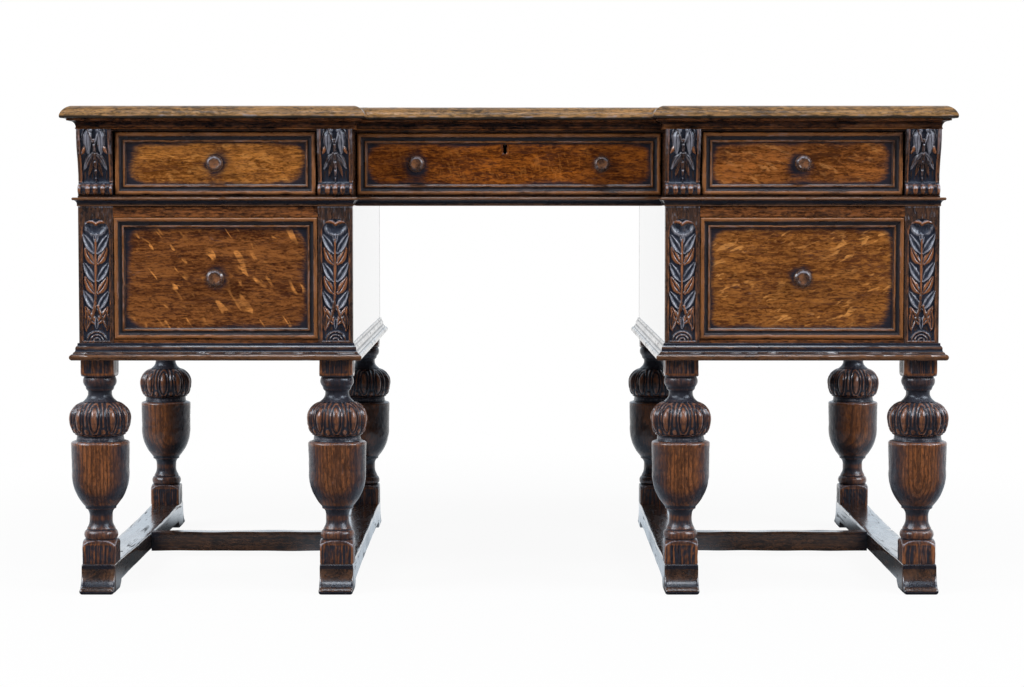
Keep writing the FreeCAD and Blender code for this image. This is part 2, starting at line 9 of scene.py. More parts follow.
import bmesh
import bpy
import numpy as np
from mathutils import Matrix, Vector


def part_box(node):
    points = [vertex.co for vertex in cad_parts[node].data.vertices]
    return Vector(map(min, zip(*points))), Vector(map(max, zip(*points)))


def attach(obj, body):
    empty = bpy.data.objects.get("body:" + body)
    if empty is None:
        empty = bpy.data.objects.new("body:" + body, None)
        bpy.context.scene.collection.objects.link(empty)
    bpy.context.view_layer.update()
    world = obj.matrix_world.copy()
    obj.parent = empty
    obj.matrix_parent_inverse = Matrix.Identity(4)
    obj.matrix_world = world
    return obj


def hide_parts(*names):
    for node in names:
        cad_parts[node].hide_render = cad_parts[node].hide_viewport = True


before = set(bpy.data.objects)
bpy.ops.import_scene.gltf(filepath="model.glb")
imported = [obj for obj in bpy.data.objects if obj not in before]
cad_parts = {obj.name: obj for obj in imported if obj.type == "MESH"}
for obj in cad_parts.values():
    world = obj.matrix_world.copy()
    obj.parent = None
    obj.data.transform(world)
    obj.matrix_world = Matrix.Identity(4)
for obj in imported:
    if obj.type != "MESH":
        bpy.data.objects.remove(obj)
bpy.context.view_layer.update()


# ---------------------------------------------------------------- sledge feet
# Four long feet of solid oak, one under each pair of legs, swept up to a toe at both ends and
# relieved underneath between the toes. Knees and brooms have rubbed their arrises and dipped the top.
MM = 0.001
FOOT_DIP = 5 * MM
DIP_STOP = 62 * MM          # the dip in the top ends this far from the leg's block
TOE_REACH = 26 * MM         # swept part of the toe, in front of the leg's block
FOOT_CLEAR = 12 * MM        # gap under the middle of the foot
PAD = 74 * MM               # length of the pad that stands on the floor
FOOT_ROUND = 2.2 * MM
WAVES = 16                  # waves summed for unevenness
TOE_PROFILE = [(0, 45.8), (2.6, 42.8, 2.0, 45.0), (15.0, 12.6, 5.8, 25.4), (15.6, 10.9), (17.4, 10.8),
               (26.0, 4.0, 23.8, 8.8)]


def uneven(points, size, seed):
    """Smooth random numbers, mostly from -2 to 2, that change over the given size."""
    draw = np.random.default_rng(seed)
    ways = draw.normal(size=(WAVES, 3)) * (2.2 / size)
    starts = draw.uniform(0, 2 * math.pi, WAVES)
    return np.cos(points @ ways.T + starts).sum(-1) / (WAVES / 2) ** 0.5


def share(values):
    """Values kept between 0 and 1."""
    return np.clip(values, 0, 1)


def near(values, place, reach):
    """1 where a value is at that place, falling away over that reach."""
    return np.exp(-((values - place) / reach) ** 2)


def lofted(name, parts, finish):
    """A piece through closed rings of points, capped at both ends.

    A part is (rings, rub, grime_and_shade, log) and perhaps painted_sheen: rub is where hands have
    worn it, grime_and_shade where the wood is dirty and where shade is painted dark, log each point's
    place in the trunk that it was cut from, x along the grain, and painted_sheen where highlights are
    painted.
    """
    faces, count = [], 0
    for rings, *_ in parts:
        rows, around = rings.shape[:2]
        here = count + np.arange(rows - 1)[:, None] * around + np.arange(around)
        beside = count + np.arange(rows - 1)[:, None] * around + (np.arange(around) + 1) % around
        faces += np.stack([here, beside, beside + around, here + around], -1).reshape(-1, 4).tolist()
        last = count + (rows - 1) * around
        faces += [list(range(count + around - 1, count - 1, -1)), list(range(last, last + around))]
        count += rows * around
    points = np.concatenate([part[0].reshape(-1, 3) for part in parts])
    mesh = bpy.data.meshes.new(name)
    mesh.from_pydata(points.tolist(), [], faces)
    for title, place in (("rub", 1), ("grime_and_shade", 2), ("painted_sheen", 4))[:len(parts[0]) - 2]:
        values = [np.broadcast_to(part[place], part[0].shape[:2]).ravel() for part in parts]
        mesh.attributes.new(title, "FLOAT", "POINT").data.foreach_set("value", np.concatenate(values))
    logs = np.concatenate([part[3].reshape(-1) for part in parts])
    mesh.attributes.new("log", "FLOAT_VECTOR", "POINT").data.foreach_set("vector", logs)
    turned_out = bmesh.new()
    turned_out.from_mesh(mesh)
    bmesh.ops.recalc_face_normals(turned_out, faces=turned_out.faces)
    turned_out.to_mesh(mesh)
    turned_out.free()
    mesh.shade_smooth()
    mesh.set_sharp_from_angle(angle=math.radians(40))
    mesh.materials.append(finish)
    piece = bpy.data.objects.new(name, mesh)
    bpy.context.scene.collection.objects.link(piece)
    return piece


def fit(piece, body, slot, *nodes):
    """The piece rides on its body and stands for those nodes; slot is not used."""
    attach(piece, body)
    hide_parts(*nodes)


def feed(tree, node, inputs):
    """Give a node its inputs, as values or as the sockets that feed them."""
    for key, value in inputs.items():
        if isinstance(value, bpy.types.NodeSocket):
            tree.links.new(value, node.inputs[key])
        else:
            node.inputs[key].default_value = value


def add_node(tree, kind, inputs, output=0, **settings):
    """Add a shader node and give one of its outputs."""
    made = tree.nodes.new("ShaderNode" + kind)
    for name, value in settings.items():
        setattr(made, name, value)
    feed(tree, made, inputs)
    return made.outputs[output]


def new_finish(name):
    """A material, its tree and its surface."""
    finish = bpy.data.materials.new(name)
    finish.use_nodes = True
    return finish, finish.node_tree, finish.node_tree.nodes["Principled BSDF"]


def maths(operation):
    """A function that adds a node joining two values, or sockets, by that operation."""
    return lambda tree, a, b=0.0: add_node(tree, "Math", {0: a, 1: b}, operation=operation)


plus, minus, times = maths("ADD"), maths("SUBTRACT"), maths("MULTIPLY")
larger, size_of = maths("MAXIMUM"), maths("ABSOLUTE")


def mixed(tree, amount, a, b):
    """Colour b over colour a."""
    return add_node(tree, "Mix", {0: amount, 6: a, 7: b}, output=2, data_type="RGBA")


def between(tree, value, low, high, start=0.0, end=1.0):
    """A value taken from low..high to start..end, softly and no further."""
    return add_node(tree, "MapRange", {0: value, 1: low, 2: high, 3: start, 4: end},
                    interpolation_type="SMOOTHSTEP")


def grainy(tree, vector, stretch, detail=2.0, distortion=0.0, roughness=0.5):
    """Noise with that many waves to the metre along, across and through the grain."""
    scaled = add_node(tree, "VectorMath", {0: vector, 1: stretch}, operation="MULTIPLY")
    return add_node(tree, "TexNoise", {"Vector": scaled, "Scale": 1.0, "Detail": detail,
                                       "Roughness": roughness, "Distortion": distortion})


def new_group(name, inputs, outputs):
    """A node group with named sockets, and its start and end."""
    group = bpy.data.node_groups.new(name, "ShaderNodeTree")
    for way, sockets in (("INPUT", inputs), ("OUTPUT", outputs)):
        for title, kind in sockets.items():
            group.interface.new_socket(name=title, in_out=way, socket_type="NodeSocket" + kind)
    return group, group.nodes.new("NodeGroupInput").outputs, group.nodes.new("NodeGroupOutput").inputs


COOL_SHEEN = (0.72, 0.84, 1.0, 1)
# Near black for the deepest dark: painted shade in deep hollows, in the keyhole and under edges.
PAINTED_BLACK_SHADE = (0.0004, 0.0004, 0.0004, 1)
BLACK_PORE = (0.003, 0.002, 0.002, 1)
# Pale grey-blue laid over the wood wherever a highlight or sheen is painted.
PAINTED_SHEEN_COLOR = (0.20, 0.20, 0.235, 1)


def oak_figure():
    """Growth rings, streaks, rays and pores of oak, from a place in the trunk."""
    group, given, out = new_group(
        "oak figure",
        {"Log": "Vector", "Dark Wood": "Color", "Light Wood": "Color", "Ray": "Color",
         "Ray Amount": "Float", "Ray Slant": "Float", "Ray Scale": "Float", "Ring Depth": "Float",
         "Shakes": "Float"},
        {"Color": "Color", "Height": "Float", "Crack": "Float"})
    log = given["Log"]
    sway = grainy(group, log, (2.5, 16, 16), 2.0)
    sway = times(group, minus(group, sway, 0.5), 0.02)
    sway = add_node(group, "CombineXYZ", {1: sway, 2: sway})
    stretched = add_node(group, "VectorMath", {0: log, 1: (0.1, 1, 1)}, operation="MULTIPLY")
    swayed = add_node(group, "VectorMath", {0: stretched, 1: sway}, operation="ADD")
    rings = add_node(group, "TexWave", {"Vector": swayed, "Scale": 52.0, "Distortion": 2.5, "Detail": 2.0,
                                        "Detail Scale": 0.5}, output=1,
                     wave_type="RINGS", rings_direction="X", wave_profile="SAW")
    early = between(group, rings, 0.45, 0.95)
    streaks = grainy(group, log, (58, 290, 290), 3.0, 0.6, 0.6)
    mottle = grainy(group, log, (110, 230, 230), 3.0, 1.0, 0.6)
    clouds = grainy(group, log, (11, 30, 30), 2.0, 0.6)
    tone = plus(group, times(group, streaks, 0.4), times(group, clouds, 0.27))
    tone = plus(group, tone, times(group, mottle, 0.33))
    tone = between(group, tone, 0.39, 0.61)
    color = mixed(group, tone, given["Dark Wood"], given["Light Wood"])
    color = mixed(group, times(group, early, given["Ring Depth"]), color, given["Dark Wood"])
    turned_log = add_node(group, "VectorRotate", {"Vector": log, "Angle": given["Ray Slant"]},
                          rotation_type="Z_AXIS")
    turned_log = add_node(group, "VectorMath", {0: turned_log, "Scale": given["Ray Scale"]},
                          operation="SCALE")
    ribbons = between(group, grainy(group, turned_log, (24, 76, 40), 1.0, 0.8), 0.57, 0.67)
    ribbons = times(group, ribbons, between(group, mottle, 0.36, 0.56, 0.65, 1.0))
    patches = between(group, grainy(group, log, (14, 22, 22), 2.0, 0.6), 0.4, 0.6)
    ray = times(group, times(group, ribbons, patches), given["Ray Amount"])
    color = mixed(group, ray, color, given["Ray"])
    fine = between(group, grainy(group, log, (150, 1300, 1300), 2.0), 0.55, 0.68)
    fine = times(group, fine, between(group, early, 0.0, 1.0, 0.4, 1.0))
    coarse = between(group, grainy(group, log, (90, 480, 480), 3.0, 0.5), 0.545, 0.66)
    pores = larger(group, fine, times(group, coarse, 0.8))
    seam = size_of(group, minus(group, grainy(group, log, (4, 75, 75), 2.0, 0.5), 0.5))
    open_seam = between(group, grainy(group, log, (10, 30, 30), 2.0), 0.53, 0.6)
    crack = times(group, between(group, seam, 0.008, 0.034, 1.0, 0.0), open_seam)
    crack = times(group, crack, given["Shakes"])
    black = mixed(group, 0.7, given["Dark Wood"], BLACK_PORE)
    dark_lines = larger(group, times(group, pores, 0.8), crack)
    group.links.new(mixed(group, dark_lines, color, black), out["Color"])
    group.links.new(crack, out["Crack"])
    group.links.new(minus(group, times(group, ray, 0.2), pores), out["Height"])
    return group


def old_wax():
    """Wax and wear over any wood: rubbed arrises, dirty hollows with painted shade, painted sheen, small
    knocks.
    """
    group, given, out = new_group(
        "old wax",
        {"Color": "Color", "Log": "Vector", "Rub": "Float", "Grime And Shade": "Float", "Painted Sheen": "Float",
         "Crack": "Float", "Rubbed": "Color", "Dirt And Shade": "Color"},
        {"Color": "Color", "Roughness": "Float", "Height": "Float", "Polish": "Float"})
    log = given["Log"]
    specks = grainy(group, log, (80, 320, 320), 5.0, 0.0, 0.65)
    patches = grainy(group, log, (14, 50, 50), 3.0)
    broad = times(group, minus(group, patches, 0.5), 0.6)
    breakup = plus(group, minus(group, specks, 0.5), broad)
    rub = plus(group, given["Rub"], times(group, breakup, 1.5))
    rub = between(group, rub, 0.3, 1.05)
    dirt_and_shade = plus(group, given["Grime And Shade"], times(group, breakup, -0.8))
    dirt_and_shade = between(group, dirt_and_shade, 0.22, 1.0)
    color = mixed(group, times(group, rub, 0.85), given["Color"], given["Rubbed"])
    color = mixed(group, times(group, dirt_and_shade, 0.97), color, given["Dirt And Shade"])
    # Past 1.5 the dark turns near black: painted shade.
    color = mixed(group, between(group, given["Grime And Shade"], 1.5, 2.0), color, PAINTED_BLACK_SHADE)
    # Painted sheen: the pale colour laid where highlights are painted.
    sheen_amount = plus(group, given["Painted Sheen"], times(group, breakup, 1.4))
    sheen_amount = times(group, between(group, sheen_amount, 0.2, 0.95), 0.8)
    group.links.new(mixed(group, sheen_amount, color, PAINTED_SHEEN_COLOR), out["Color"])
    rough = between(group, patches, 0.3, 0.7, 0.2, 0.34)
    group.links.new(plus(group, rough, times(group, given["Crack"], 0.5)), out["Roughness"])
    dull = larger(group, times(group, dirt_and_shade, 0.8), given["Crack"])
    group.links.new(minus(group, 1.0, dull), out["Polish"])
    knocks = between(group, grainy(group, log, (240, 240, 240), 2.0), 0.3, 0.42)
    group.links.new(plus(group, knocks, specks), out["Height"])
    return group


OAK_FIGURE = oak_figure()
OLD_WAX = old_wax()


def waxed_oak(name, dark, light, ray, rubbed, dirt_and_shade, ray_amount=0.5, ray_slant=0.9, ray_scale=1.0,
              coat=0.5, coat_roughness=0.14, coat_ior=1.5, specular=0.22, bump=0.35, ring_depth=0.35,
              shakes=0.0, dullness=1.0, along=None):
    """Old polished oak. Colours are linear. Without along it reads the piece's own log, rub,
    grime_and_shade and painted_sheen; with along, the grain of a plain board runs on that axis of the
    desk, and on faces that look sideways on the second one. The colour given for dirty wood and painted
    shade is tinted blue in several finishes, a painted reflection."""
    finish, tree, surface = new_finish(name)
    if along is None:
        log = add_node(tree, "Attribute", {}, output=1, attribute_name="log")
        rub, grime_and_shade, painted_sheen = (add_node(tree, "Attribute", {}, output=2, attribute_name=title)
                             for title in ("rub", "grime_and_shade", "painted_sheen"))
    else:
        place = add_node(tree, "TexCoord", {}, output=3)
        turns = {"X": (0, 0, 0), "Y": (0, 0, math.pi / 2), "Z": (0, math.pi / 2, 0)}
        faces = [add_node(tree, "Mapping", {0: place, 1: (0.3, 0.11, 0.07), 2: turns[axis]})
                 for axis in along]
        normal = add_node(tree, "SeparateXYZ", {0: add_node(tree, "NewGeometry", {}, output=1)})
        sideways = maths("GREATER_THAN")(tree, size_of(tree, normal), 0.5)
        log = add_node(tree, "Mix", {0: sideways, 4: faces[0], 5: faces[1]}, output=1,
                       data_type="VECTOR")
        rub, grime_and_shade, painted_sheen = 0.0, 0.12, 0.0
    figure = add_node(tree, "Group", {
        "Log": log, "Dark Wood": (*dark, 1), "Light Wood": (*light, 1), "Ray": (*ray, 1),
        "Ray Amount": ray_amount, "Ray Slant": ray_slant, "Ray Scale": ray_scale,
        "Ring Depth": ring_depth, "Shakes": shakes}, node_tree=OAK_FIGURE).node.outputs
    wax = add_node(tree, "Group", {
        "Color": figure["Color"], "Log": log, "Rub": rub, "Grime And Shade": grime_and_shade, "Painted Sheen": painted_sheen,
        "Crack": figure["Crack"], "Rubbed": (*rubbed, 1), "Dirt And Shade": (*dirt_and_shade, 1)},
        node_tree=OLD_WAX).node.outputs
    height = plus(tree, figure["Height"], times(tree, wax["Height"], 0.35))
    relief = add_node(tree, "Bump", {"Strength": bump, "Distance": 0.0005, "Height": height})
    feed(tree, surface, {
        "Base Color": wax["Color"], "Roughness": times(tree, wax["Roughness"], dullness),
        "Normal": relief, "Specular IOR Level": specular, "Specular Tint": COOL_SHEEN,
        "Coat Weight": times(tree, wax["Polish"], coat) if coat else 0.0,
        "Coat Roughness": coat_roughness, "Coat IOR": coat_ior})
    return finish


# The dark for dirt and painted shade is tinted blue, a painted reflection.
STAND_FINISH = waxed_oak("stand_oak", (0.016, 0.010, 0.008), (0.078, 0.035, 0.017), (0.13, 0.052, 0.020),
                         (0.10, 0.052, 0.030), (0.010, 0.011, 0.017), ray_amount=0.3, coat=1.0,
                         coat_roughness=0.12, specular=0.5, bump=0.08, shakes=0.8)


def soft_section(width, low, high, radius, per_side=6, per_corner=4):
    """A rectangle across a bar, about x = 0, with worn corners, as (x, z) points."""
    radius = min(radius, width / 2.01, (high - low) / 2.01)
    points = []
    x, z = width / 2 - radius, (high - low) / 2 - radius
    middle = (high + low) / 2
    for corner, (sx, sz) in enumerate(((1, 1), (-1, 1), (-1, -1), (1, -1))):
        for i in range(per_corner):
            turn = (corner + i / (per_corner - 1)) * math.pi / 2
            points.append((sx * x + radius * math.cos(turn), middle + sz * z + radius * math.sin(turn)))
        ahead = ((-x, z + radius), (-x - radius, -z), (x, -z - radius), (x + radius, z))[corner]
        start = points[-1]
        for i in range(1, per_side + 1):
            f = i / (per_side + 1)
            points.append((start[0] + f * (ahead[0] - start[0]),
                           start[1] + f * (middle + ahead[1] - start[1])))
    return np.array(points)


def trunk(points, along, seed):
    """Places in the trunk for points whose grain runs on that axis. Each seed is another plank."""
    draw = np.random.default_rng(seed)
    order = {0: (0, 2, 1), 1: (1, 2, 0), 2: (2, 0, 1)}[along]
    start = [draw.uniform(0, 4), draw.uniform(0.05, 0.14), draw.uniform(0.03, 0.1)]
    return points[..., order] + np.array(start)


def drawn(points, step=0.25):
    """A line through (a, b) points in small steps. A point (a, b, c, d) ends an arc through (c, d)."""
    line = [np.array(points[0][:2], float)]
    for point in points[1:]:
        start, end = line[-1], np.array(point[:2], float)
        if len(point) == 2:
            count = max(1, int(np.hypot(*(end - start)) / step))
            line += [start + (end - start) * (i + 1) / count for i in range(count)]
            continue
        middle = np.array(point[2:], float)
        rows = 2 * np.array([middle - start, end - start])
        centre = np.linalg.solve(rows, [middle @ middle - start @ start, end @ end - start @ start])
        first, via, last = (math.atan2(p[1] - centre[1], p[0] - centre[0]) for p in (start, middle, end))
        turn = (last - first) % (2 * math.pi)
        if (via - first) % (2 * math.pi) > turn:
            turn -= 2 * math.pi
        radius = np.hypot(*(start - centre))
        count = max(2, int(abs(turn) * radius / step))
        line += [centre + radius * np.array([math.cos(first + turn * (i + 1) / count),
                                             math.sin(first + turn * (i + 1) / count)]) for i in range(count)]
    return np.array(line)


def sledge_foot(side, place, seed):
    """A foot lofted from its middle to one toe, and mirrored to the other."""
    node = "%s_%s_foot" % (side, place)
    low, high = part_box(node)
    middle, width, end, top = (low.x + high.x) / 2, high.x - low.x, high.y, high.z
    block = end - TOE_REACH
    dip_end = block - DIP_STOP
    stations = []
    for y in np.linspace(0, dip_end, 46):
        f = y / dip_end
        dip = FOOT_DIP * (1 - f ** 2)
        stations.append((y, FOOT_CLEAR, top - dip, 1 - 0.035 * (1 - f ** 4), FOOT_ROUND))
    for y in np.linspace(dip_end + 2 * MM, block - 0.5 * MM, 14):
        floor_line = FOOT_CLEAR * min(1, max(0, (end - PAD - y) / (20 * MM)))
        stations.append((y, floor_line, top, 1.0, FOOT_ROUND))
    for out, height in drawn(TOE_PROFILE, 1.0):
        spread = min(1, out / 18)
        nose = max(0, (out - 21) / 5) ** 2
        stations.append((block + out * MM, 3.2 * MM * nose, height * MM,
                         0.985 + 0.03 * spread - 0.10 * nose ** 2, FOOT_ROUND + 2 * MM * spread))
    stations = [(-y, *rest) for y, *rest in stations[:0:-1]] + stations
    rings = []
    for y, floor_line, upper, wide, corner in stations:
        section = soft_section(width * wide, floor_line, upper, corner)
        rings.append(np.stack([section[:, 0], np.full(len(section), y), section[:, 1]], -1))
    rings = np.array(rings)
    arris = np.abs(rings[..., 0]) > width * 0.5 - 4 * MM
    arris &= rings[..., 2] > np.array([station[2] for station in stations])[:, None] - 4 * MM
    worn = uneven(rings, 0.05, seed)
    rings[..., 0] -= np.sign(rings[..., 0]) * (0.2 + 0.15 * worn) * (1 + arris) * MM
    chips = np.clip(uneven(rings, 0.045, seed + 1) - 0.8, 0, 2)
    along = np.abs(rings[..., 1])
    run = share((block - along - 60 * MM) / (30 * MM))
    rings[..., 2] -= arris * run * chips * MM
    height = rings[..., 2] / MM
    toe = along > block
    rub = np.where(arris, 0.5, 0.1) + 0.2 * worn * arris + 0.15 * toe * (height < 36)
    # Darker along the bottom, on the toe's top ledge, in bands across the toe and low near the stretcher:
    # dirt and painted shade.
    grime_and_shade = np.where(height < 6, 0.7, 0.06) + 0.5 * toe * (height > 38)
    grime_and_shade += toe * (0.25 + 0.5 * near(height, 16.5, 4.5) + 0.5 * near(height, 12.5, 1.6))
    grime_and_shade += 0.5 * (along < 60 * MM) * (rings[..., 2] < top - 4 * MM - FOOT_DIP)
    # A pale line along the toe's lip is a painted highlight.
    painted_sheen = 0.12 * toe * near(height, 8.5, 1.8)
    rings[..., 0] += middle
    parts = [(rings, rub, grime_and_shade, trunk(rings, 1, seed), painted_sheen)]
    fit(lofted("%s_%s_sledge_foot" % (side, place), parts, STAND_FINISH), "desk", "stand_oak", node)


FEET = (("left", "outer"), ("left", "inner"), ("right", "inner"), ("right", "outer"))
for number, (foot_side, foot_place) in enumerate(FEET):
    sledge_foot(foot_side, foot_place, 10 + number)


# ---------------------------------------------------------------- cross stretchers
# A straight oak rail under each pedestal, tenoned into the two feet at mid-depth. Its top has sagged
# and worn a little, and it is darker towards the feet: dirt and painted shade.
TENON = 18 * MM


def straight_bar(section, xs):
    """Rings of one (y, z) section at those places along X."""
    return np.array([np.stack([np.full(len(section), x), section[:, 0], section[:, 1]], -1) for x in xs])


def cross_stretcher(side, seed):
    node = side + "_stretcher"
    low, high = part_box(node)
    section = soft_section(high.y - low.y, low.z, high.z, 1.4 * MM)
    xs = np.linspace(low.x + TENON, high.x - TENON, 90)
    rings = straight_bar(section, xs)
    upper = rings[..., 2] > high.z - 3 * MM
    rings[..., 2] += uneven(rings, 0.05, seed) * 0.35 * MM - 0.4 * MM * upper
    ends = np.minimum(xs - xs[0], xs[-1] - xs)[:, None]
    # Darker towards both ends, where it meets the feet: dirt and painted shade.
    grime_and_shade = 0.1 + 0.75 * np.exp(-ends / 0.03) + 0 * rings[..., 0]
    parts = [(rings, 0.5 * upper, grime_and_shade, trunk(rings, 0, seed))]
    fit(lofted(side + "_cross_stretcher", parts, STAND_FINISH), "desk", "stand_oak", node)


cross_stretcher("left", 21)
cross_stretcher("right", 22)


# ---------------------------------------------------------------- turned legs
# Eight cup-and-cover legs turned from the square, which is left as a block at both ends, and pinned
# into the foot and the pedestal. The cover is carved with ten lobes, each in its own raised outline,
# and a dart between each two.
LEG_BLOCK = 54.5
BLOCK_LOW, BLOCK_HIGH = 46.0, 374.3
LOW_TURNING, HIGH_TURNING = 83.6, 346.9
COVER_LOW, COVER_HIGH = 254.6, 306.0
COVER_RELIEF = 3.0          # the carving's ground lies this far inside the turning
LOBES = 10
LEG_ROWS, LEG_STEPS = 165, 18 * LOBES
CORNER = LEG_BLOCK * 0.71   # reach of the block's corners
SOFT = 0.45                 # how far wear rounds an arris
TURNING = [
    (CORNER, BLOCK_LOW), (CORNER, 68.5), (24.8, 83.5, 34.8, 78.6), (24.2, 83.5), (24.2, 98.5, 27.4, 91),
    (23.0, 98.5), (23.0, 101.5), (18.6, 113.5, 19.7, 107.8), (18.6, 122.5), (23.2, 133.0, 19.9, 128.4),
    (25.0, 133.0), (25.0, 136.5), (46.0, 196.0, 40.3, 160.0), (46.9, 237.0), (44.6, 241.8, 46.3, 240.7),
    (38.6, 243.6), (37.4, 251.5), (43.2, COVER_LOW), (49.0, 273.5, 47.4, 263.5),
    (27.5, COVER_HIGH, 44.0, 295.8), (25.0, 308.5), (19.2, 319.0, 20.8, 313.2), (19.2, 323.0),
    (22.6, 326.2), (23.4, 330.4), (24.4, 331.4), (24.4, 347.0, 27.2, 339.5), (25.4, 347.0),
    (CORNER, 357.0, 35.0, 350.2), (CORNER, BLOCK_HIGH)]
# The dark for dirt and painted shade is tinted blue, a painted reflection.
LEG_FINISH = waxed_oak("turned_oak", (0.066, 0.024, 0.010), (0.222, 0.073, 0.021), (0.2, 0.09, 0.035),
                       (0.225, 0.080, 0.028), (0.017, 0.019, 0.027), ray_amount=0.15, ray_slant=0.2, coat=0.7,
                       coat_roughness=0.28, specular=0.3, ring_depth=0.95)


def blurred(values, steps, axis, wrap=False):
    """Values averaged over about that many steps to each side, along one axis."""
    reach = max(1, int(steps * 2.5))
    weights = np.exp(-0.5 * (np.arange(-reach, reach + 1) / steps) ** 2)
    pads = [(0, 0)] * values.ndim
    pads[axis] = (reach, reach)
    padded = np.pad(values, pads, mode="wrap" if wrap else "edge")
    count = values.shape[axis]
    total = sum(w * np.take(padded, range(i, i + count), axis) for i, w in enumerate(weights))
    return total / weights.sum()


def eased(line, count, wrap, soften=SOFT, look=2.2):
    """The line with worn arrises, in count points that crowd where it turns, with how far each point
    stands out of its surroundings (rub) or back in them (grime_and_shade)."""
    lengths = np.hypot(*(np.diff(line, axis=0, append=line[:1] if wrap else line[-1:])).T)
    step = lengths[:-1].mean()
    soft = blurred(line, soften / step, 0, wrap)
    if not wrap:
        soft[0], soft[-1] = line[0], line[-1]
    along = np.gradient(soft, axis=0)
    normal = np.stack([along[:, 1], -along[:, 0]], -1) / np.maximum(np.hypot(*along.T), 1e-9)[:, None]
    out = ((soft - blurred(soft, look / step, 0, wrap)) * normal).sum(-1)
    turning = np.hypot(*np.gradient(normal, axis=0).T)
    crowd = np.cumsum(np.hypot(*along.T) / step + 9 * np.minimum(turning, 0.35))
    wanted = np.linspace(crowd[0], crowd[-1], count + wrap)[:count]
    place = np.interp(wanted, crowd, np.arange(len(crowd)))
    picked = [np.interp(place, np.arange(len(crowd)), v) for v in (soft[:, 0], soft[:, 1], out)]
    return np.stack(picked[:2], -1), share(picked[2] / 0.35), share(-picked[2] / 0.35)


def cover_carving(turns, heights):
    """How far the cover's lobes, outlines and darts stand over its ground, in millimetres."""
    pitch = 2 * math.pi / LOBES
    across = np.abs((turns + pitch / 2) % pitch - pitch / 2) / pitch * 2
    t = (heights - COVER_LOW) / (COVER_HIGH - COVER_LOW)
    swell = 1 + 0.25 * (t - 0.5)
    tall = np.abs((t - 0.49) / 0.42) ** 2.6
    inner = np.sqrt((across / (0.40 * swell)) ** 2 + tall)
    lobe = 3.4 * np.sqrt(share(1 - inner ** 2))
    around = np.sqrt((across / (0.60 * swell)) ** 2 + np.abs((t - 0.49) / 0.48) ** 2.6)
    outline = 2.5 * near(around, 1, 0.13)
    dart = 2.2 * near(across, 1, 0.13) * share((t - 0.2) / 0.1)
    bud = 2.4 * np.sqrt(share(1 - ((across - 1) / 0.30) ** 2 - ((t - 0.10) / 0.10) ** 2))
    body = (t > 0.0) & (t < 1.0)
    return np.where(body, np.maximum(np.maximum(lobe, outline), np.maximum(dart, bud)), 0)


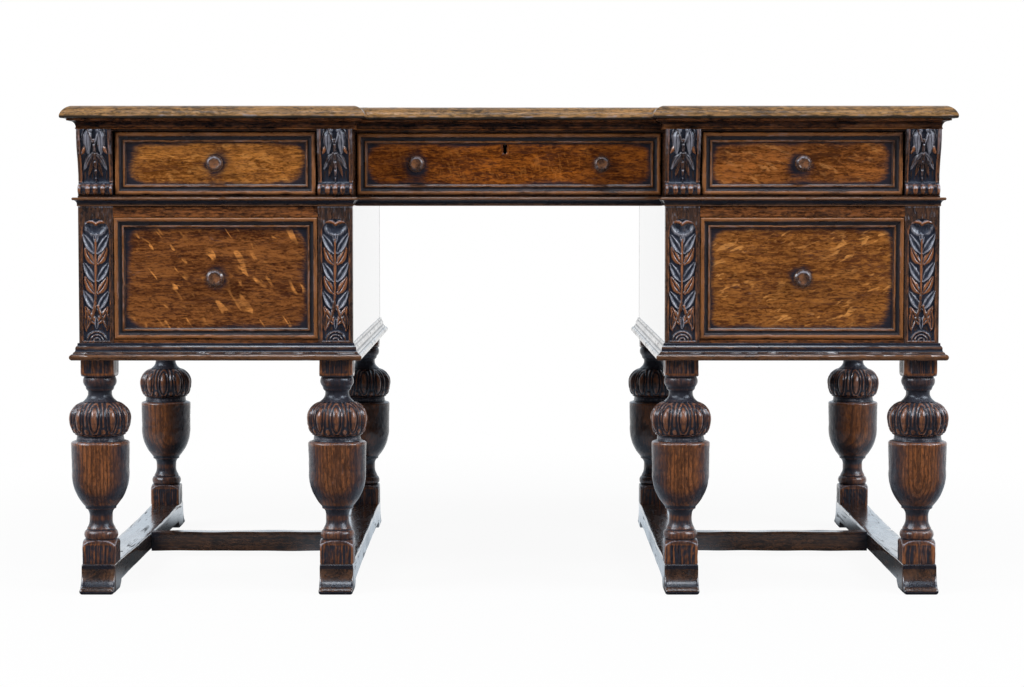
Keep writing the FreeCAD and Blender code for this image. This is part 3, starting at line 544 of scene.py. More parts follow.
def turned_leg(side, place, face, seed):
    """A turning with its cover carved, between square blocks that wear has furrowed along the grain."""
    node = "%s_%s_%s_leg" % (side, place, face)
    low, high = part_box(node)
    line, edge, hollow = eased(drawn(TURNING), LEG_ROWS, wrap=False)
    radius, heights = line[:, :1], line[:, 1:]
    edge, hollow = edge[:, None], hollow[:, None]
    turns = np.arange(LEG_STEPS)[None] * 2 * math.pi / LEG_STEPS
    draw = np.random.default_rng(seed)
    placed = lambda reach: np.stack([reach * np.cos(turns), reach * np.sin(turns), heights + 0 * turns], -1)

    square = LEG_BLOCK / 2 / (np.abs(np.cos(turns)) ** 16 + np.abs(np.sin(turns)) ** 16) ** (1 / 16)
    squared = (heights < LOW_TURNING) | (heights > HIGH_TURNING)
    worn_square = 30 - SOFT * np.log(np.exp(-(radius - 30) / SOFT) + np.exp(-(square - 30) / SOFT))
    wide = np.where(squared, worn_square, radius + 0 * turns)
    covered = (heights > COVER_LOW - 0.2) & (heights < COVER_HIGH)
    carving = np.where(covered, cover_carving(turns - math.pi / 2 + draw.normal(0, 0.03), heights), 0)
    wide = wide - COVER_RELIEF * covered + carving
    flat = placed(wide)
    in_block = (heights < 76) | (heights > 352)
    side_place = np.where(np.abs(np.cos(turns)) > np.abs(np.sin(turns)), flat[..., 1], flat[..., 0])
    reeds = np.stack([side_place, 0 * side_place, 0 * side_place + heights * 0.02], -1)
    reeds = uneven(reeds, 1.4, seed + 3)
    wide = wide - np.where(in_block, 0.3 * np.abs(reeds), 0)
    wide = wide - 0.22 * np.abs(uneven(flat * MM, 0.012, seed)) * (1 - 0.5 * covered)

    carved = carving - blurred(blurred(carving, 2.5, 1, True), 2.0, 0)
    cut = wide - blurred(blurred(wide, 2.5, 1, True), 1.5, 0)
    relief = np.where(covered, carved, np.where(in_block, cut * 1.2, 0))
    stands = share(relief / 0.7)
    arch = near(radius, square, 1.1) * squared * (heights < LOW_TURNING)
    cup = share((heights - 146) / 22) * share((240 - heights) / 6)
    facing = np.abs(np.sin(turns)) ** 5
    rub = 0.75 * edge + stands * (0.8 - 0.25 * covered) + 0.35 * arch - 0.1 * cup
    rub += (heights < 76) * 0.32 * share(reeds) - 0.6 * near(heights, 240, 4)
    grime_and_shade = 0.85 * hollow + share(-relief / 0.6) + 0.2 * covered + 0.27 * (1 - in_block)
    grime_and_shade += in_block * (0.4 + 0.5 * share(-reeds) - 0.3 * arch)
    # Darker in the groove below the cover and on the cup's underside: dirt and painted shade.
    grime_and_shade += 0.4 * near(heights, 248, 3.5) + 0.5 * near(heights, 152, 14)
    # The cup's sides are painted darker than its front and back: painted shade.
    grime_and_shade += cup * (0.85 * (1 - facing) - 0.27)
    # The necks take more of the blue-tinted dark: painted sheen.
    grime_and_shade += 0.32 * (np.abs(heights - 108) < 31) + 0.55 * (np.abs(heights - 328) < 22)
    travel = np.gradient(line, axis=0)
    upward = share(-travel[:, 0] / np.hypot(*travel.T))[:, None]
    # Painted highlights on up-facing arrises, the blocks' arches, the carving, a band below the cover and the
    # upper reeds.
    painted_sheen = 0.6 * upward * edge + 0.8 * arch + 0.18 * covered * stands
    painted_sheen += 0.5 * near(heights, 247.5, 2.2) + 0.2 * (heights > 352) * share(reeds)

    centre = np.array([(low.x + high.x) / 2, (low.y + high.y) / 2, 0])
    rings = placed(wide) * MM
    start = [draw.uniform(0, 4), draw.uniform(-0.045, 0.045), draw.uniform(0.02, 0.05)]
    start[2] *= 1 if face == "front" else -1
    log = rings[..., (2, 0, 1)] + np.array(start)
    parts = [(rings + centre, rub, grime_and_shade, log, painted_sheen)]
    fit(lofted("%s_%s_%s_turned_leg" % (side, place, face), parts, LEG_FINISH), "desk", "turned_oak", node)


LEGS = [(side, place, face) for side in ("left", "right") for place in ("outer", "inner")
        for face in ("front", "rear")]
for number, leg in enumerate(LEGS):
    turned_leg(*leg, 30 + 5 * number)


# ---------------------------------------------------------------- base mouldings
# A mitred moulding round the foot of each pedestal: a torus on a fillet under a stretched ogee.
# Kicks and polish have brought its long arrises back to brown.
BASE_PROJECTION = 14.5
BASE_PROFILE = [(0, 0), (10.5, 0), (10.5, 10, 14.5, 5), (9, 10), (9, 12.5), (5.5, 17.5, 6.2, 14.2),
                (2.5, 23.5, 4.7, 21.8), (2.5, 27.7), (0, 27.7), (0, 0)]
# The dark for dirt and painted shade is tinted blue, a painted reflection.
MOULDING_FINISH = waxed_oak("moulding_oak", (0.016, 0.008, 0.006), (0.082, 0.038, 0.019),
                            (0.12, 0.06, 0.03), (0.135, 0.057, 0.023), (0.010, 0.012, 0.020), ray_amount=0.15,
                            coat=0.9, coat_roughness=0.12, coat_ior=1.75, specular=0.4, bump=0.04)
MITRE_REACH = 12 * MM       # mouldings are less chipped this near a mitre


def mitred_run(path, profile, step, seed, wear=0.3, sections=34, soften=SOFT):
    """Mitred lengths of moulding along a closed plan path with its outer side on the right.

    The profile's first number is the distance outwards. Gives the rings of each length as
    (plan x, plan y, height), with its rub, its grime_and_shade and its log.
    """
    line, edge, hollow = eased(drawn(profile)[:-1], sections, wrap=True, soften=soften)
    out, height = line[:, 0] * MM, line[:, 1] * MM
    lengths = []
    for i in range(len(path)):
        a, b = np.array(path[i]), np.array(path[(i + 1) % len(path)])
        before, after = np.array(path[i - 1]), np.array(path[(i + 2) % len(path)])
        run = np.hypot(*(b - a))
        along = (b - a) / run
        outward = np.array([along[1], -along[0]])
        ends = [1 if (other - corner) @ outward < 0 else -1 for corner, other in ((a, before), (b, after))]
        f = np.linspace(0, 1, max(3, int(run / step)))[:, None]
        place = -out * ends[0] + f * (run + out * (ends[0] + ends[1]))
        flat = a + place[..., None] * along + (out + 0 * f)[..., None] * outward
        rings = np.concatenate([flat, (height + 0 * f)[..., None]], -1)
        away = np.minimum(place, run - place) / MITRE_REACH
        knocks = uneven(rings, 0.02, seed + i) + 0.7 * uneven(rings, 0.007, seed + i + 50)
        loss = (0.25 * np.abs(knocks) + np.clip(knocks - 1.2, 0, 2) * 1.6) * wear * MM * edge
        loss = loss * np.clip(away, 0.15, 1) * (out > 2 * MM)
        rings[..., :2] -= loss[..., None] * outward
        draw = np.random.default_rng(seed + i)
        log = np.stack([place + draw.uniform(0, 4), out + 0 * f + draw.uniform(0.06, 0.12),
                        height + 0 * f + draw.uniform(0.03, 0.08)], -1)
        lengths.append((rings, edge + 0 * f, hollow + 0 * f, log))
    return lengths


def rectangle(x0, x1, y0, y1):
    """A plan with its outer side on the right."""
    return [(x0, y0), (x1, y0), (x1, y1), (x0, y1)]


def base_moulding(side, seed):
    node = side + "_base_moulding"
    low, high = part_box(node)
    inset = BASE_PROJECTION * MM
    path = rectangle(low.x + inset, high.x - inset, low.y + inset, high.y - inset)
    lengths = mitred_run(path, BASE_PROFILE, 6 * MM, seed, 0.5)
    for number, (rings, rub, grime_and_shade, _) in enumerate(lengths):
        # The side returns keep less rub and much less dark than the front and rear, which paints them paler:
        # painted sheen. The front and rear are darker along the top fillet and the hollow below it.
        rub *= 0.8 - 0.4 * (number % 2)
        grime_and_shade *= 1 - 0.8 * (number % 2) * (grime_and_shade < 0.6)
        if number % 2 == 0:
            grime_and_shade += 0.9 * (rings[..., 2] > 24 * MM) + 0.55 * (np.abs(rings[..., 2] - 20 * MM) < 4 * MM)
        rings[..., 2] += low.z
    piece = lofted(side + "_pedestal_base_moulding", lengths, MOULDING_FINISH)
    fit(piece, "desk", "moulding_oak", node)


base_moulding("left", 80)
base_moulding("right", 90)


# ---------------------------------------------------------------- pedestal carcases
# Side boards with upright grain, polished outside, a bottom, a middle partition, and the rails,
# runners and kickers that carry the drawers. The dowels that seat the upper section stand in them.
CARCASE_FINISH = waxed_oak("carcase_oak", (0.024, 0.011, 0.007), (0.098, 0.040, 0.018), (0.17, 0.08, 0.035),
                           (0.12, 0.06, 0.03), (0.006, 0.005, 0.006), ray_amount=0.35, ray_slant=1.2,
                           coat=1.0, coat_roughness=0.03, specular=0.5, bump=0.01, dullness=0.25,
                           along=("X", "Z"))
RAIL_FINISH = waxed_oak("rail_oak", (0.026, 0.010, 0.005), (0.225, 0.076, 0.022), (0.26, 0.10, 0.03),
                        (0.12, 0.06, 0.03), (0.006, 0.005, 0.006), ray_amount=0.35, coat=0.4,
                        along=("X", "Y"))
FRIEZE_FINISH = waxed_oak("frieze_oak", (0.012, 0.007, 0.006), (0.060, 0.025, 0.012), (0.10, 0.045, 0.02),
                          (0.12, 0.06, 0.03), (0.006, 0.006, 0.008), ray_amount=0.3, coat=0.6,
                          coat_roughness=0.1, bump=0.1, along=("X", "Y"))


def dress(node, finish):
    """A CAD node that stays, with its finish."""
    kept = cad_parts[node]
    kept.data.materials.clear()
    kept.data.materials.append(finish)


for side_name in ("left", "right"):
    dress(side_name + "_pedestal_case", CARCASE_FINISH)
    dress(side_name + "_pedestal_rails", RAIL_FINISH)
dress("locating_dowels", RAIL_FINISH)


# ---------------------------------------------------------------- carved pilasters
# Eight corner stiles of the pedestals. Each has a round-headed panel sunk four millimetres, with a
# flower on a stem, paired leaves, hollow and flat in turn, and a lunette at the foot.
PILASTER_W = 55.5
PILASTER_T = 18.0
PANEL_HALF, PANEL_LOW, PANEL_HIGH = 21.5, 404.5, 601.0
SUNK = 4.0
NUDGE = 0.35                # how far each point of a hand-cut leaf strays
# The navy dark in the carving's hollows is dirt and painted shade, tinted blue as a painted reflection.
CARVED_FINISH = waxed_oak("carved_oak", (0.018, 0.013, 0.013), (0.092, 0.040, 0.020), (0.1, 0.05, 0.025),
                          (0.25, 0.088, 0.030), (0.020, 0.024, 0.039), ray_amount=0.1, coat=0.8,
                          coat_roughness=0.2, specular=0.45)


def leaf(ground, xs, zs, spine, half_width, rim, middle, slit=0.0, root=0.35, lean=0.0):
    """Carve one leaf along a curve of three (x, z) points from root to tip, in millimetres.

    rim is its height at the edge and middle at the spine, so a low middle makes it hollow. root is
    how wide it starts, as a share of its half width. lean lifts its right edge and lowers its left.
    """
    a, b, c = (np.array(point, float) for point in spine)
    t = np.linspace(0, 1, 40)
    curve = ((1 - t) ** 2)[:, None] * a + (2 * t * (1 - t))[:, None] * b + (t * t)[:, None] * c
    tangent = np.gradient(curve, axis=0)
    tangent /= np.hypot(*tangent.T)[:, None]
    dx, dz = xs[..., None] - curve[:, 0], zs[..., None] - curve[:, 1]
    nearest = (dx ** 2 + dz ** 2).argmin(-1)
    pick = lambda values: np.take_along_axis(values, nearest[..., None], -1)[..., 0]
    to_right = pick(dx) * tangent[nearest, 1] - pick(dz) * tangent[nearest, 0]
    ahead = pick(dx) * tangent[nearest, 0] + pick(dz) * tangent[nearest, 1]
    off = np.hypot(to_right, np.where((nearest == 0) | (nearest == len(t) - 1), ahead, 0))
    s = t[nearest]
    width = half_width * np.maximum(np.sin(math.pi * share(s) ** 0.8) ** 0.6, root * (1 - s) ** 1.5)
    width = np.maximum(width, 0.25)
    k = off / width
    raised = rim * (1 + lean * np.clip(to_right / width, -1, 1))
    inner = middle + (raised - middle) * (np.minimum(k, 0.64) / 0.64) ** 2
    outer = raised * np.sqrt(share(1 - ((k - 0.64) / 0.36) ** 2))
    value = np.where(k < 0.64, inner - slit * np.exp(-(k / 0.16) ** 2), outer)
    return np.where(k < 0.64, value, np.maximum(ground, np.where(k < 1, value, -9)))


def carve(high, tones, xs, zs, strokes):
    """Carve leaves one over another. A tone of 1 is rubbed brown by hands, and -1 is given painted sheen."""
    for *stroke, tone in strokes:
        after = leaf(high, xs, zs, *stroke)
        tones = np.where(after != high, tone, tones)
        high = after
    return high, tones


def pilaster_relief(xs, zs, seed):
    """Height over the sunk ground, in millimetres, and the tone, from rubbed brown at 1 to painted sheen at
    -1.
    """
    draw = np.random.default_rng(seed)
    nudge = lambda: draw.normal(0, NUDGE)
    high, tones = np.zeros_like(xs), np.zeros_like(xs)
    around = np.hypot(xs, zs - PANEL_LOW)
    for radius in (5.0, 10.0, 15.0):
        high = np.maximum(high, 2.8 * near(around, radius, 1.5))
    leaves, flower = [], []
    for sign in (-1, 1):
        side = lambda points: [(sign * x + nudge(), z + nudge()) for x, z in points]
        for low, tip in ((529, 556), (482, 509), (434, 461)):
            flat = side([(3.0, low), (11.5, low + 8), (18.0, tip)])
            leaves.append((flat, 6.8, 2.4, 3.4, 2.4, 0.5, 0.1 * sign, 1))
        for low, tip in ((547, 576), (502, 531), (457, 485)):
            hollow = side([(3.0, low), (11.0, low + 10), (20.2, tip)])
            leaves.append((hollow, 6.4, 3.1, 0.4, 0.0, 0.5, 0.42 * sign, -1))
        leaves.append((side([(14.5, 452), (18.5, 436), (16.0, 420)]), 4.2, 2.8, 2.6, 1.6, 0.35, 0.0, 0.6))
        flower += [(side([(0.2, 592.0), (9.5, 600.0), (19.0, 591.5)]), 3.1, 3.0, 4.6, 0.0, 0.95, 0.0, 1),
                   (side([(15.6, 594.0), (17.6, 593.0), (19.6, 590.4)]), 1.7, 3.2, 4.6, 0.0, 0.9, 0.0, -1),
                   (side([(0.6, 562), (2.8, 566), (3.6, 572)]), 1.3, 2.4, 3.0, 0.0, 0.9, 0.0, -1)]
    high, tones = carve(high, tones, xs, zs, leaves)
    drop = np.where(zs < 591, (591 - zs) / 20.5, (zs - 591) / 9.4)
    far = (np.abs(xs / 20.6) ** 1.9 + np.abs(drop) ** 1.9) ** (1 / 1.9)
    bowl = 3.6 * (np.minimum(far, 0.84) / 0.84) ** 4 - 1.8 * (1 - 0.5 * drop)
    brim = 1.8 * np.sqrt(share(1 - ((far - 0.84) / 0.18) ** 2))
    high = np.where(far < 0.84, bowl, np.maximum(high, np.where(far < 1.02, brim, -9)))
    tones = np.where(far < 1.02, np.where(far > 0.84, -1.2, -0.8), tones)
    flower += [([(0, 575), (0, 570), (0, 560)], 1.5, 2.6, 3.4, 0.0, 1.0, 0.0, -1),
               ([(2.6, 461), (6.5, 446), (16.5, 423)], 2.6, 3.0, 3.8, 0.0, 1.0, 0.0, 0.4),
               ([(0, 441), (0, 433), (0, 424)], 3.6, 3.4, 0.8, 0.0, 0.2, 0.0, -1),
               ([(-0.4, 567), (-1.0, 515), (-1.0, 450)], 2.3, 2.8, 3.9, 0.0, 0.9, 0.0, 0.7),
               ([(-1.0, 478), (-2.5, 449), (-16, 422)], 2.8, 2.8, 3.9, 0.0, 0.9, 0.0, 0.2)]
    return carve(high, tones, xs, zs, flower)


def carved_part(xs, zs, out, back, steps, seed, centre, face_y, sy, dark, tones):
    """A carved block in its place, with wear, dirty hollows, painted shade and painted sheen from its own
    relief. Its rings follow the face from left to right, then its square back."""
    stands = out - blurred(blurred(out, steps, 0), steps, 1)
    ledge = -np.gradient(stands, axis=0) / (zs[1, 0] - zs[0, 0])
    warm, cool = share(tones), np.clip(-tones, 0, 2)
    corners = [np.stack([xs[:, i], np.full(len(xs), back), zs[:, i]], -1)[:, None] for i in (-1, 0)]
    rings = np.concatenate([np.stack([xs, out, zs], -1), *corners], 1)
    filled = lambda values: np.concatenate([values, np.zeros((len(xs), 2))], 1)
    rub = filled(share(stands / 0.75) * (0.5 + 0.15 * warm - 0.45 * cool) + 0.5 * warm)
    # Dark in the hollows and on the leaves of tone -1: dirt and painted shade.
    grime_and_shade = filled(share(-stands / 0.55) * (1 - 0.5 * cool) + dark + 0.55 * share(cool))
    # Up-facing slopes and the leaves of tone -1 get painted sheen, less where they are dark.
    sheen_amount = 0.75 * share(ledge * 1.3 - 0.15) + cool * (0.4 + 0.75 * share(stands / 1.1) ** 1.4)
    painted_sheen = filled(sheen_amount * share(1.3 - 2 * dark))
    placed = rings * np.array([1, sy, 1]) * MM + np.array([centre, sy * face_y, 0])
    return placed, rub, grime_and_shade, trunk(placed, 2, seed), painted_sheen


def pilasters(side, seed):
    node = side + "_pedestal_pilasters"
    low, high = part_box(node)
    xs, zs = np.meshgrid(np.linspace(-PILASTER_W / 2, PILASTER_W / 2, 68),
                         np.linspace(low.z / MM, high.z / MM, 290))
    parts = []
    for i, sy in enumerate((-1, 1)):
        for j, x in enumerate((low.x + PILASTER_W / 2 * MM, high.x - PILASTER_W / 2 * MM)):
            own = seed + 2 * i + j
            arch = np.hypot(xs, np.maximum(zs - (PANEL_HIGH - PANEL_HALF), 0)) - PANEL_HALF
            inside = share(-np.maximum(arch, PANEL_LOW - zs) / 1.1)
            inside = inside * inside * (3 - 2 * inside)
            worn = uneven(np.stack([xs, zs, 0 * xs], -1), 9, own + 7)
            tools = uneven(np.stack([xs, zs * 0.25, 0 * xs], -1), 2.2, own + 8)
            carving, tones = pilaster_relief(xs, zs, own)
            out = inside * (carving * (0.97 + 0.05 * worn) - SUNK + 0.12 * tools)
            edge = share((np.abs(xs) - PILASTER_W / 2 + 1.6) / 1.6)
            out = out - 0.55 * edge ** 2 - 0.12 * np.abs(worn) - 0.1 * np.abs(tools) * (1 - inside) - 0.05
            ground = 0.3 * inside * (out < -2.6)
            head = (1 - inside) * (zs > PANEL_HIGH - 10)
            tones = tones * inside + 0.3 * (1 - inside) * (0.6 + 0.4 * worn)
            parts.append(carved_part(xs, zs, out, -PILASTER_T, 2.4, own, x, high.y, sy, ground + 0.05, tones))
            painted_sheen = parts[-1][-1]
            # A painted highlight along the top of the stile's head, and in streaks down it.
            painted_sheen[:, :-2] += head * (0.45 * share(tools - 0.4) + 0.5 * (zs > high.z / MM - 2.5))
    piece = lofted(side + "_carved_pilasters", parts, CARVED_FINISH)
    fit(piece, "desk", "carved_oak", node)


pilasters("left", 120)
pilasters("right", 130)


# ---------------------------------------------------------------- frieze
# The upper section's carcase, which stands on the pedestals, with the moulding planted round its
# foot: a bead over a small ogee, mitred round every break of the plan.
FRIEZE_PROFILE = [(0, 0), (1.5, 0), (1.5, 2), (6, 9.5, 2.5, 7), (7.5, 9.5), (7.5, 14, 8.8, 11.8), (0, 14),
                  (0, 0)]


def breakfront(outer, inner, face, centre_face):
    """The plan of the upper section, with its outer side on the right."""
    return [(-outer, -face), (-inner, -face), (-inner, -centre_face), (inner, -centre_face),
            (inner, -face), (outer, -face), (outer, face), (inner, face), (inner, centre_face),
            (-inner, centre_face), (-inner, face), (-outer, face)]


case_low, case_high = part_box("right_pedestal_case")
INNER_X, OUTER_X = case_low.x, case_high.x
FACE_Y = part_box("right_pedestal_pilasters")[1].y
CENTRE_FACE_Y = -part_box("front_centre_frieze_drawer_front")[0].y + 1.0 * MM
UPPER_PLAN = breakfront(OUTER_X, INNER_X, FACE_Y, CENTRE_FACE_Y)

dress("frieze_carcase", FRIEZE_FINISH)
foot_runs = mitred_run(UPPER_PLAN, FRIEZE_PROFILE, 7 * MM, 200, 0.5, 28)
for foot_rings, *_ in foot_runs:
    foot_rings[..., 2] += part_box("frieze_base_moulding")[0].z
frieze_foot = lofted("frieze_foot_moulding", foot_runs, MOULDING_FINISH)
fit(frieze_foot, "desk", "moulding_oak", "frieze_base_moulding")


# ---------------------------------------------------------------- consoles
# Eight carved consoles under the cornice: acanthus that hangs from a crossing at the top, a ribbed
# stem, a hollow belly and a row of beads on the scroll at the foot.
CONSOLE_W = 55.5
CONSOLE_BACK = [(14, 0), (19.5, 9, 19.0, 3.2), (13, 18.5, 18.6, 15.6), (8, 25, 9.4, 20.6),
                (19.5, 67, 11.6, 46.5), (27, 93.8, 24.8, 82), (27, 105.8)]
BEADS = (-11.8, 0.2, 12.2)  # places of the beads across the scroll
CONSOLE_DEPTH = 27.0


def console_relief(xs, zs, seed):
    """Height over the console's ground, in millimetres, and the tone. zs starts at its foot."""
    draw = np.random.default_rng(seed)
    nudge = lambda: draw.normal(0, NUDGE)
    high = 0.5 * np.cos(xs * 1.1) * near(zs, 33, 9)
    strokes = []
    for sign in (-1, 1):
        side = lambda points: [(sign * x + nudge(), z + nudge()) for x, z in points]
        strokes += [
            (side([(15, 108), (22, 103), (20.5, 88)]), 3.6, 2.2, 0.6, 0.0, 0.6, 0.3 * sign, -0.5),
            (side([(3.0, 66), (10.5, 60), (18.5, 41)]), 5.2, 2.6, 4.2, 1.6, 0.7, 0.3 * sign, -0.65),
            (side([(2.0, 58), (6.0, 50), (11.5, 30)]), 3.4, 2.4, 3.0, 0.8, 0.6, 0.0, 0.2),
            (side([(8.5, 80), (14.5, 77), (20.4, 66.0)]), 4.6, 3.0, 5.0, 0.0, 0.6, 0.0, 0.8),
            (side([(7.5, 104), (13.0, 92), (9.8, 65)]), 7.4, 2.8, 5.6, 1.8, 0.7, 0.3 * sign, -1.4),
            (side([(11, 108), (6.5, 97), (1.2, 82)]), 2.2, 4.0, 5.3, 0.0, 1.0, 0.0, -0.65 - 0.35 * sign)]
    strokes += [([(0, 88), (0.2, 55), (0.2, 20)], 2.9, 4.0, 5.2, 0.0, 1.0, 0.0, -0.3)]
    high, tones = carve(high, np.zeros_like(xs), xs, zs, strokes)
    for z in (83.0, 69.0, 55.5, 42.0, 30.0):
        high = high - 4.6 * np.exp(-((xs / 1.5) ** 2 + ((zs - z) / 1.6) ** 2))
    scroll = share((21.5 - zs) / 2.5)
    beads = np.full_like(xs, -2.8)
    for x in (*BEADS, -25.4, 25.4):
        half = 5.2 if x in BEADS else 3.4
        round_off = 1 - ((xs - x) / half) ** 2 - ((zs - 10.4) / 9.9) ** 2
        beads = np.maximum(beads, 7.6 * share(round_off) ** 0.5 - 2.8)
    fillet = share((np.abs(xs) - 21.6) / 0.7) * (1 - scroll)
    tones = np.where(scroll > 0.5, 0.45 * (beads > -0.5), np.where(fillet > 0.5, 0.4, tones))
    return np.maximum(high * (1 - scroll) + beads * scroll, 4.2 * fillet), tones


def consoles():
    low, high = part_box("corbels")
    tall = (high.z - low.z) / MM
    xs, zs = np.meshgrid(np.linspace(-CONSOLE_W / 2, CONSOLE_W / 2, 70), np.linspace(0, tall, 128))
    curve = drawn(CONSOLE_BACK)
    swept = np.interp(zs, curve[:, 1], curve[:, 0])
    half = CONSOLE_W / 2 * MM
    stile_y = high.y - CONSOLE_DEPTH * MM
    places = [(sx * x, sy) for x in (OUTER_X - half, INNER_X + half) for sy in (-1, 1) for sx in (-1, 1)]
    parts = []
    for own, (x, sy) in enumerate(places, 300):
        worn = uneven(np.stack([xs, zs, 0 * xs], -1), 7, own)
        carving, tones = console_relief(xs, zs, own)
        out = swept - 5.4 + carving * (0.97 + 0.06 * worn)
        edge = share((np.abs(xs) - CONSOLE_W / 2 + 1.2) / 1.2)
        out = np.minimum(out - 0.5 * edge ** 2 - 0.1 * np.abs(worn), CONSOLE_DEPTH - 0.1)
        # Darker on the hollow belly, on the upper end under the cornice and on the low ground: dirt and
        # painted shade.
        console_dirt_and_shade = 0.4 * near(zs, 28, 9) * (np.abs(xs) < 22) + 0.25 * (zs > 97)
        console_dirt_and_shade = console_dirt_and_shade + 0.4 * (carving < 0.3)
        parts.append(carved_part(xs, zs + low.z / MM, out, 0.0, 2.2, own, x, stile_y, sy, console_dirt_and_shade, tones))
        # A painted highlight on the upper part of each bead, and painted sheen on the upper fillets.
        painted_bead_highlight = (zs < 21) * share((carving - 2.0) / 2.5) * share((zs - 9) / 5)
        painted_sheen = parts[-1][-1]
        painted_sheen[:, :-2] += 1.1 * painted_bead_highlight + 0.45 * (np.abs(xs) > 22) * (zs > 66)
    fit(lofted("carved_consoles", parts, CARVED_FINISH), "desk", "carved_oak", "corbels")


consoles()


# ---------------------------------------------------------------- cornice
# The bed moulding under the top, a fillet over a flat cove, mitred round the plan. It is in the shade
# and nearly black, and rubbed to red in patches along its foot.
CORNICE_H = 17.0
CORNICE_PROFILE = [(0, 0), (1.6, 0), (1.6, 2.8, 3.1, 1.4), (1.4, 3.4), (2.2, 3.4), (11.6, 12.6, 4.6, 10.2),
                   (12.0, 13.4), (15, 13.4), (15, CORNICE_H), (0, CORNICE_H), (0, 0)]
CORNICE_FINISH = waxed_oak("cornice_oak", (0.005, 0.004, 0.005), (0.185, 0.060, 0.016), (0.06, 0.03, 0.02),
                           (0.23, 0.085, 0.026), (0.003, 0.003, 0.005), ray_amount=0.1, coat=0.5,
                           coat_roughness=0.2, specular=0.15)

cornice_runs = mitred_run(UPPER_PLAN, CORNICE_PROFILE, 10 * MM, 220, 0.3, 26)
for cornice_rings, cornice_rub, *_ in cornice_runs:
    cornice_rub *= 0.45
    patches = share(uneven(cornice_rings, 0.09, 221) + 0.3)
    cornice_rub += 0.8 * (cornice_rings[..., 2] < 9 * MM) * patches
    cornice_rings[..., 2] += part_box("cornice_moulding")[0].z
cornice = lofted("cornice", cornice_runs, CORNICE_FINISH)
fit(cornice, "desk", "moulding_oak", "cornice_moulding")


# ---------------------------------------------------------------- top
# Wide oak boards inside a mitred lipping with a sloping thumbnail edge. The edge is bleached to a
# golden brown and its lower arris is chipped and worn. Below that arris the lipping is painted dark as
# shade, and pale patches along the arris are painted sheen.
TOP_T = 20.0
EDGE_W = 18.0
TOP_PROFILE = [(0, 0), (16, 0), (18, 2, 17.4, 0.6), (18, 5), (0.5, TOP_T, 11.4, TOP_T - 5), (0, TOP_T),
               (0, 0)]
TOP_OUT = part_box("desk_top")[1]
TOP_BREAK = 21 * MM         # the lipping's overhang at the break
EDGE_FINISH = waxed_oak("top_edge_oak", (0.048, 0.029, 0.014), (0.28, 0.148, 0.053), (0.33, 0.19, 0.085),
                        (0.31, 0.17, 0.075), (0.022, 0.018, 0.015), ray_amount=0.2, coat=0.1,
                        coat_roughness=0.25)
BOARD_FINISH = waxed_oak("top_oak", (0.055, 0.027, 0.012), (0.21, 0.105, 0.042), (0.34, 0.19, 0.085),
                         (0.30, 0.16, 0.07), (0.030, 0.022, 0.018), ray_amount=0.6, ray_slant=1.3, coat=0.5)


def desk_top():
    """Four long boards through the middle and four short ones in the wings, inside the lipping."""
    core_x, core_y = TOP_OUT.x - EDGE_W * MM, TOP_OUT.y - EDGE_W * MM
    overhang = TOP_OUT.y - FACE_Y
    inner = INNER_X - TOP_BREAK + EDGE_W * MM
    centre_y = CENTRE_FACE_Y + overhang - EDGE_W * MM
    low = TOP_OUT.z - TOP_T * MM
    runs = mitred_run(breakfront(core_x, inner, core_y, centre_y), TOP_PROFILE, 4 * MM, 240, 1.0, 36, 0.6)
    edging = []
    for rings, rub, grime_and_shade, log in runs:
        nose = near(rings[..., 2] / MM, 4.5, 2.2)
        rub += 0.1 * (rings[..., 2] > 8 * MM)
        # The lipping's underside is painted dark as shade; the dark patches along the nose are dirt.
        grime_and_shade += 1.3 * (rings[..., 2] < 3.6 * MM) + 0.5 * nose * (uneven(rings, 0.03, 241) > 0.3)
        # Pale patches along the nose are painted sheen.
        nose_sheen = nose * share(uneven(rings, 0.014, 242) + 0.3)
        rings[..., 2] += low
        edging.append((rings, rub, grime_and_shade, log, 0.5 * nose_sheen))
    parts = []
    slabs = [(-core_x, core_x, y * centre_y / 2, (y + 1) * centre_y / 2) for y in (-2, -1, 0, 1)]
    slabs += [(*sorted((sx * inner, sx * core_x)), *sorted((sy * centre_y, sy * core_y)))
              for sx in (-1, 1) for sy in (-1, 1)]
    for i, (x0, x1, y0, y1) in enumerate(slabs):
        section = soft_section(y1 - y0, low, TOP_OUT.z, 0.7 * MM, 14, 3)
        xs = np.linspace(x0 + 0.1 * MM, x1 - 0.1 * MM, max(8, int((x1 - x0) / (20 * MM))))
        rings = straight_bar(section + np.array([(y0 + y1) / 2, 0]), xs)
        upper = rings[..., 2] > TOP_OUT.z - 1 * MM
        rings[..., 2] -= upper * (0.12 + 0.1 * np.abs(uneven(rings, 0.09, 250 + i))) * MM
        parts.append((rings, 0.12 * upper, 0.1 + 0 * upper, trunk(rings, 0, 260 + i)))
    fit(lofted("top_edge_lipping", edging, EDGE_FINISH), "desk", "top_oak", "desk_top")
    fit(lofted("top_boards", parts, BOARD_FINISH), "desk", "top_oak", "desk_top")


desk_top()


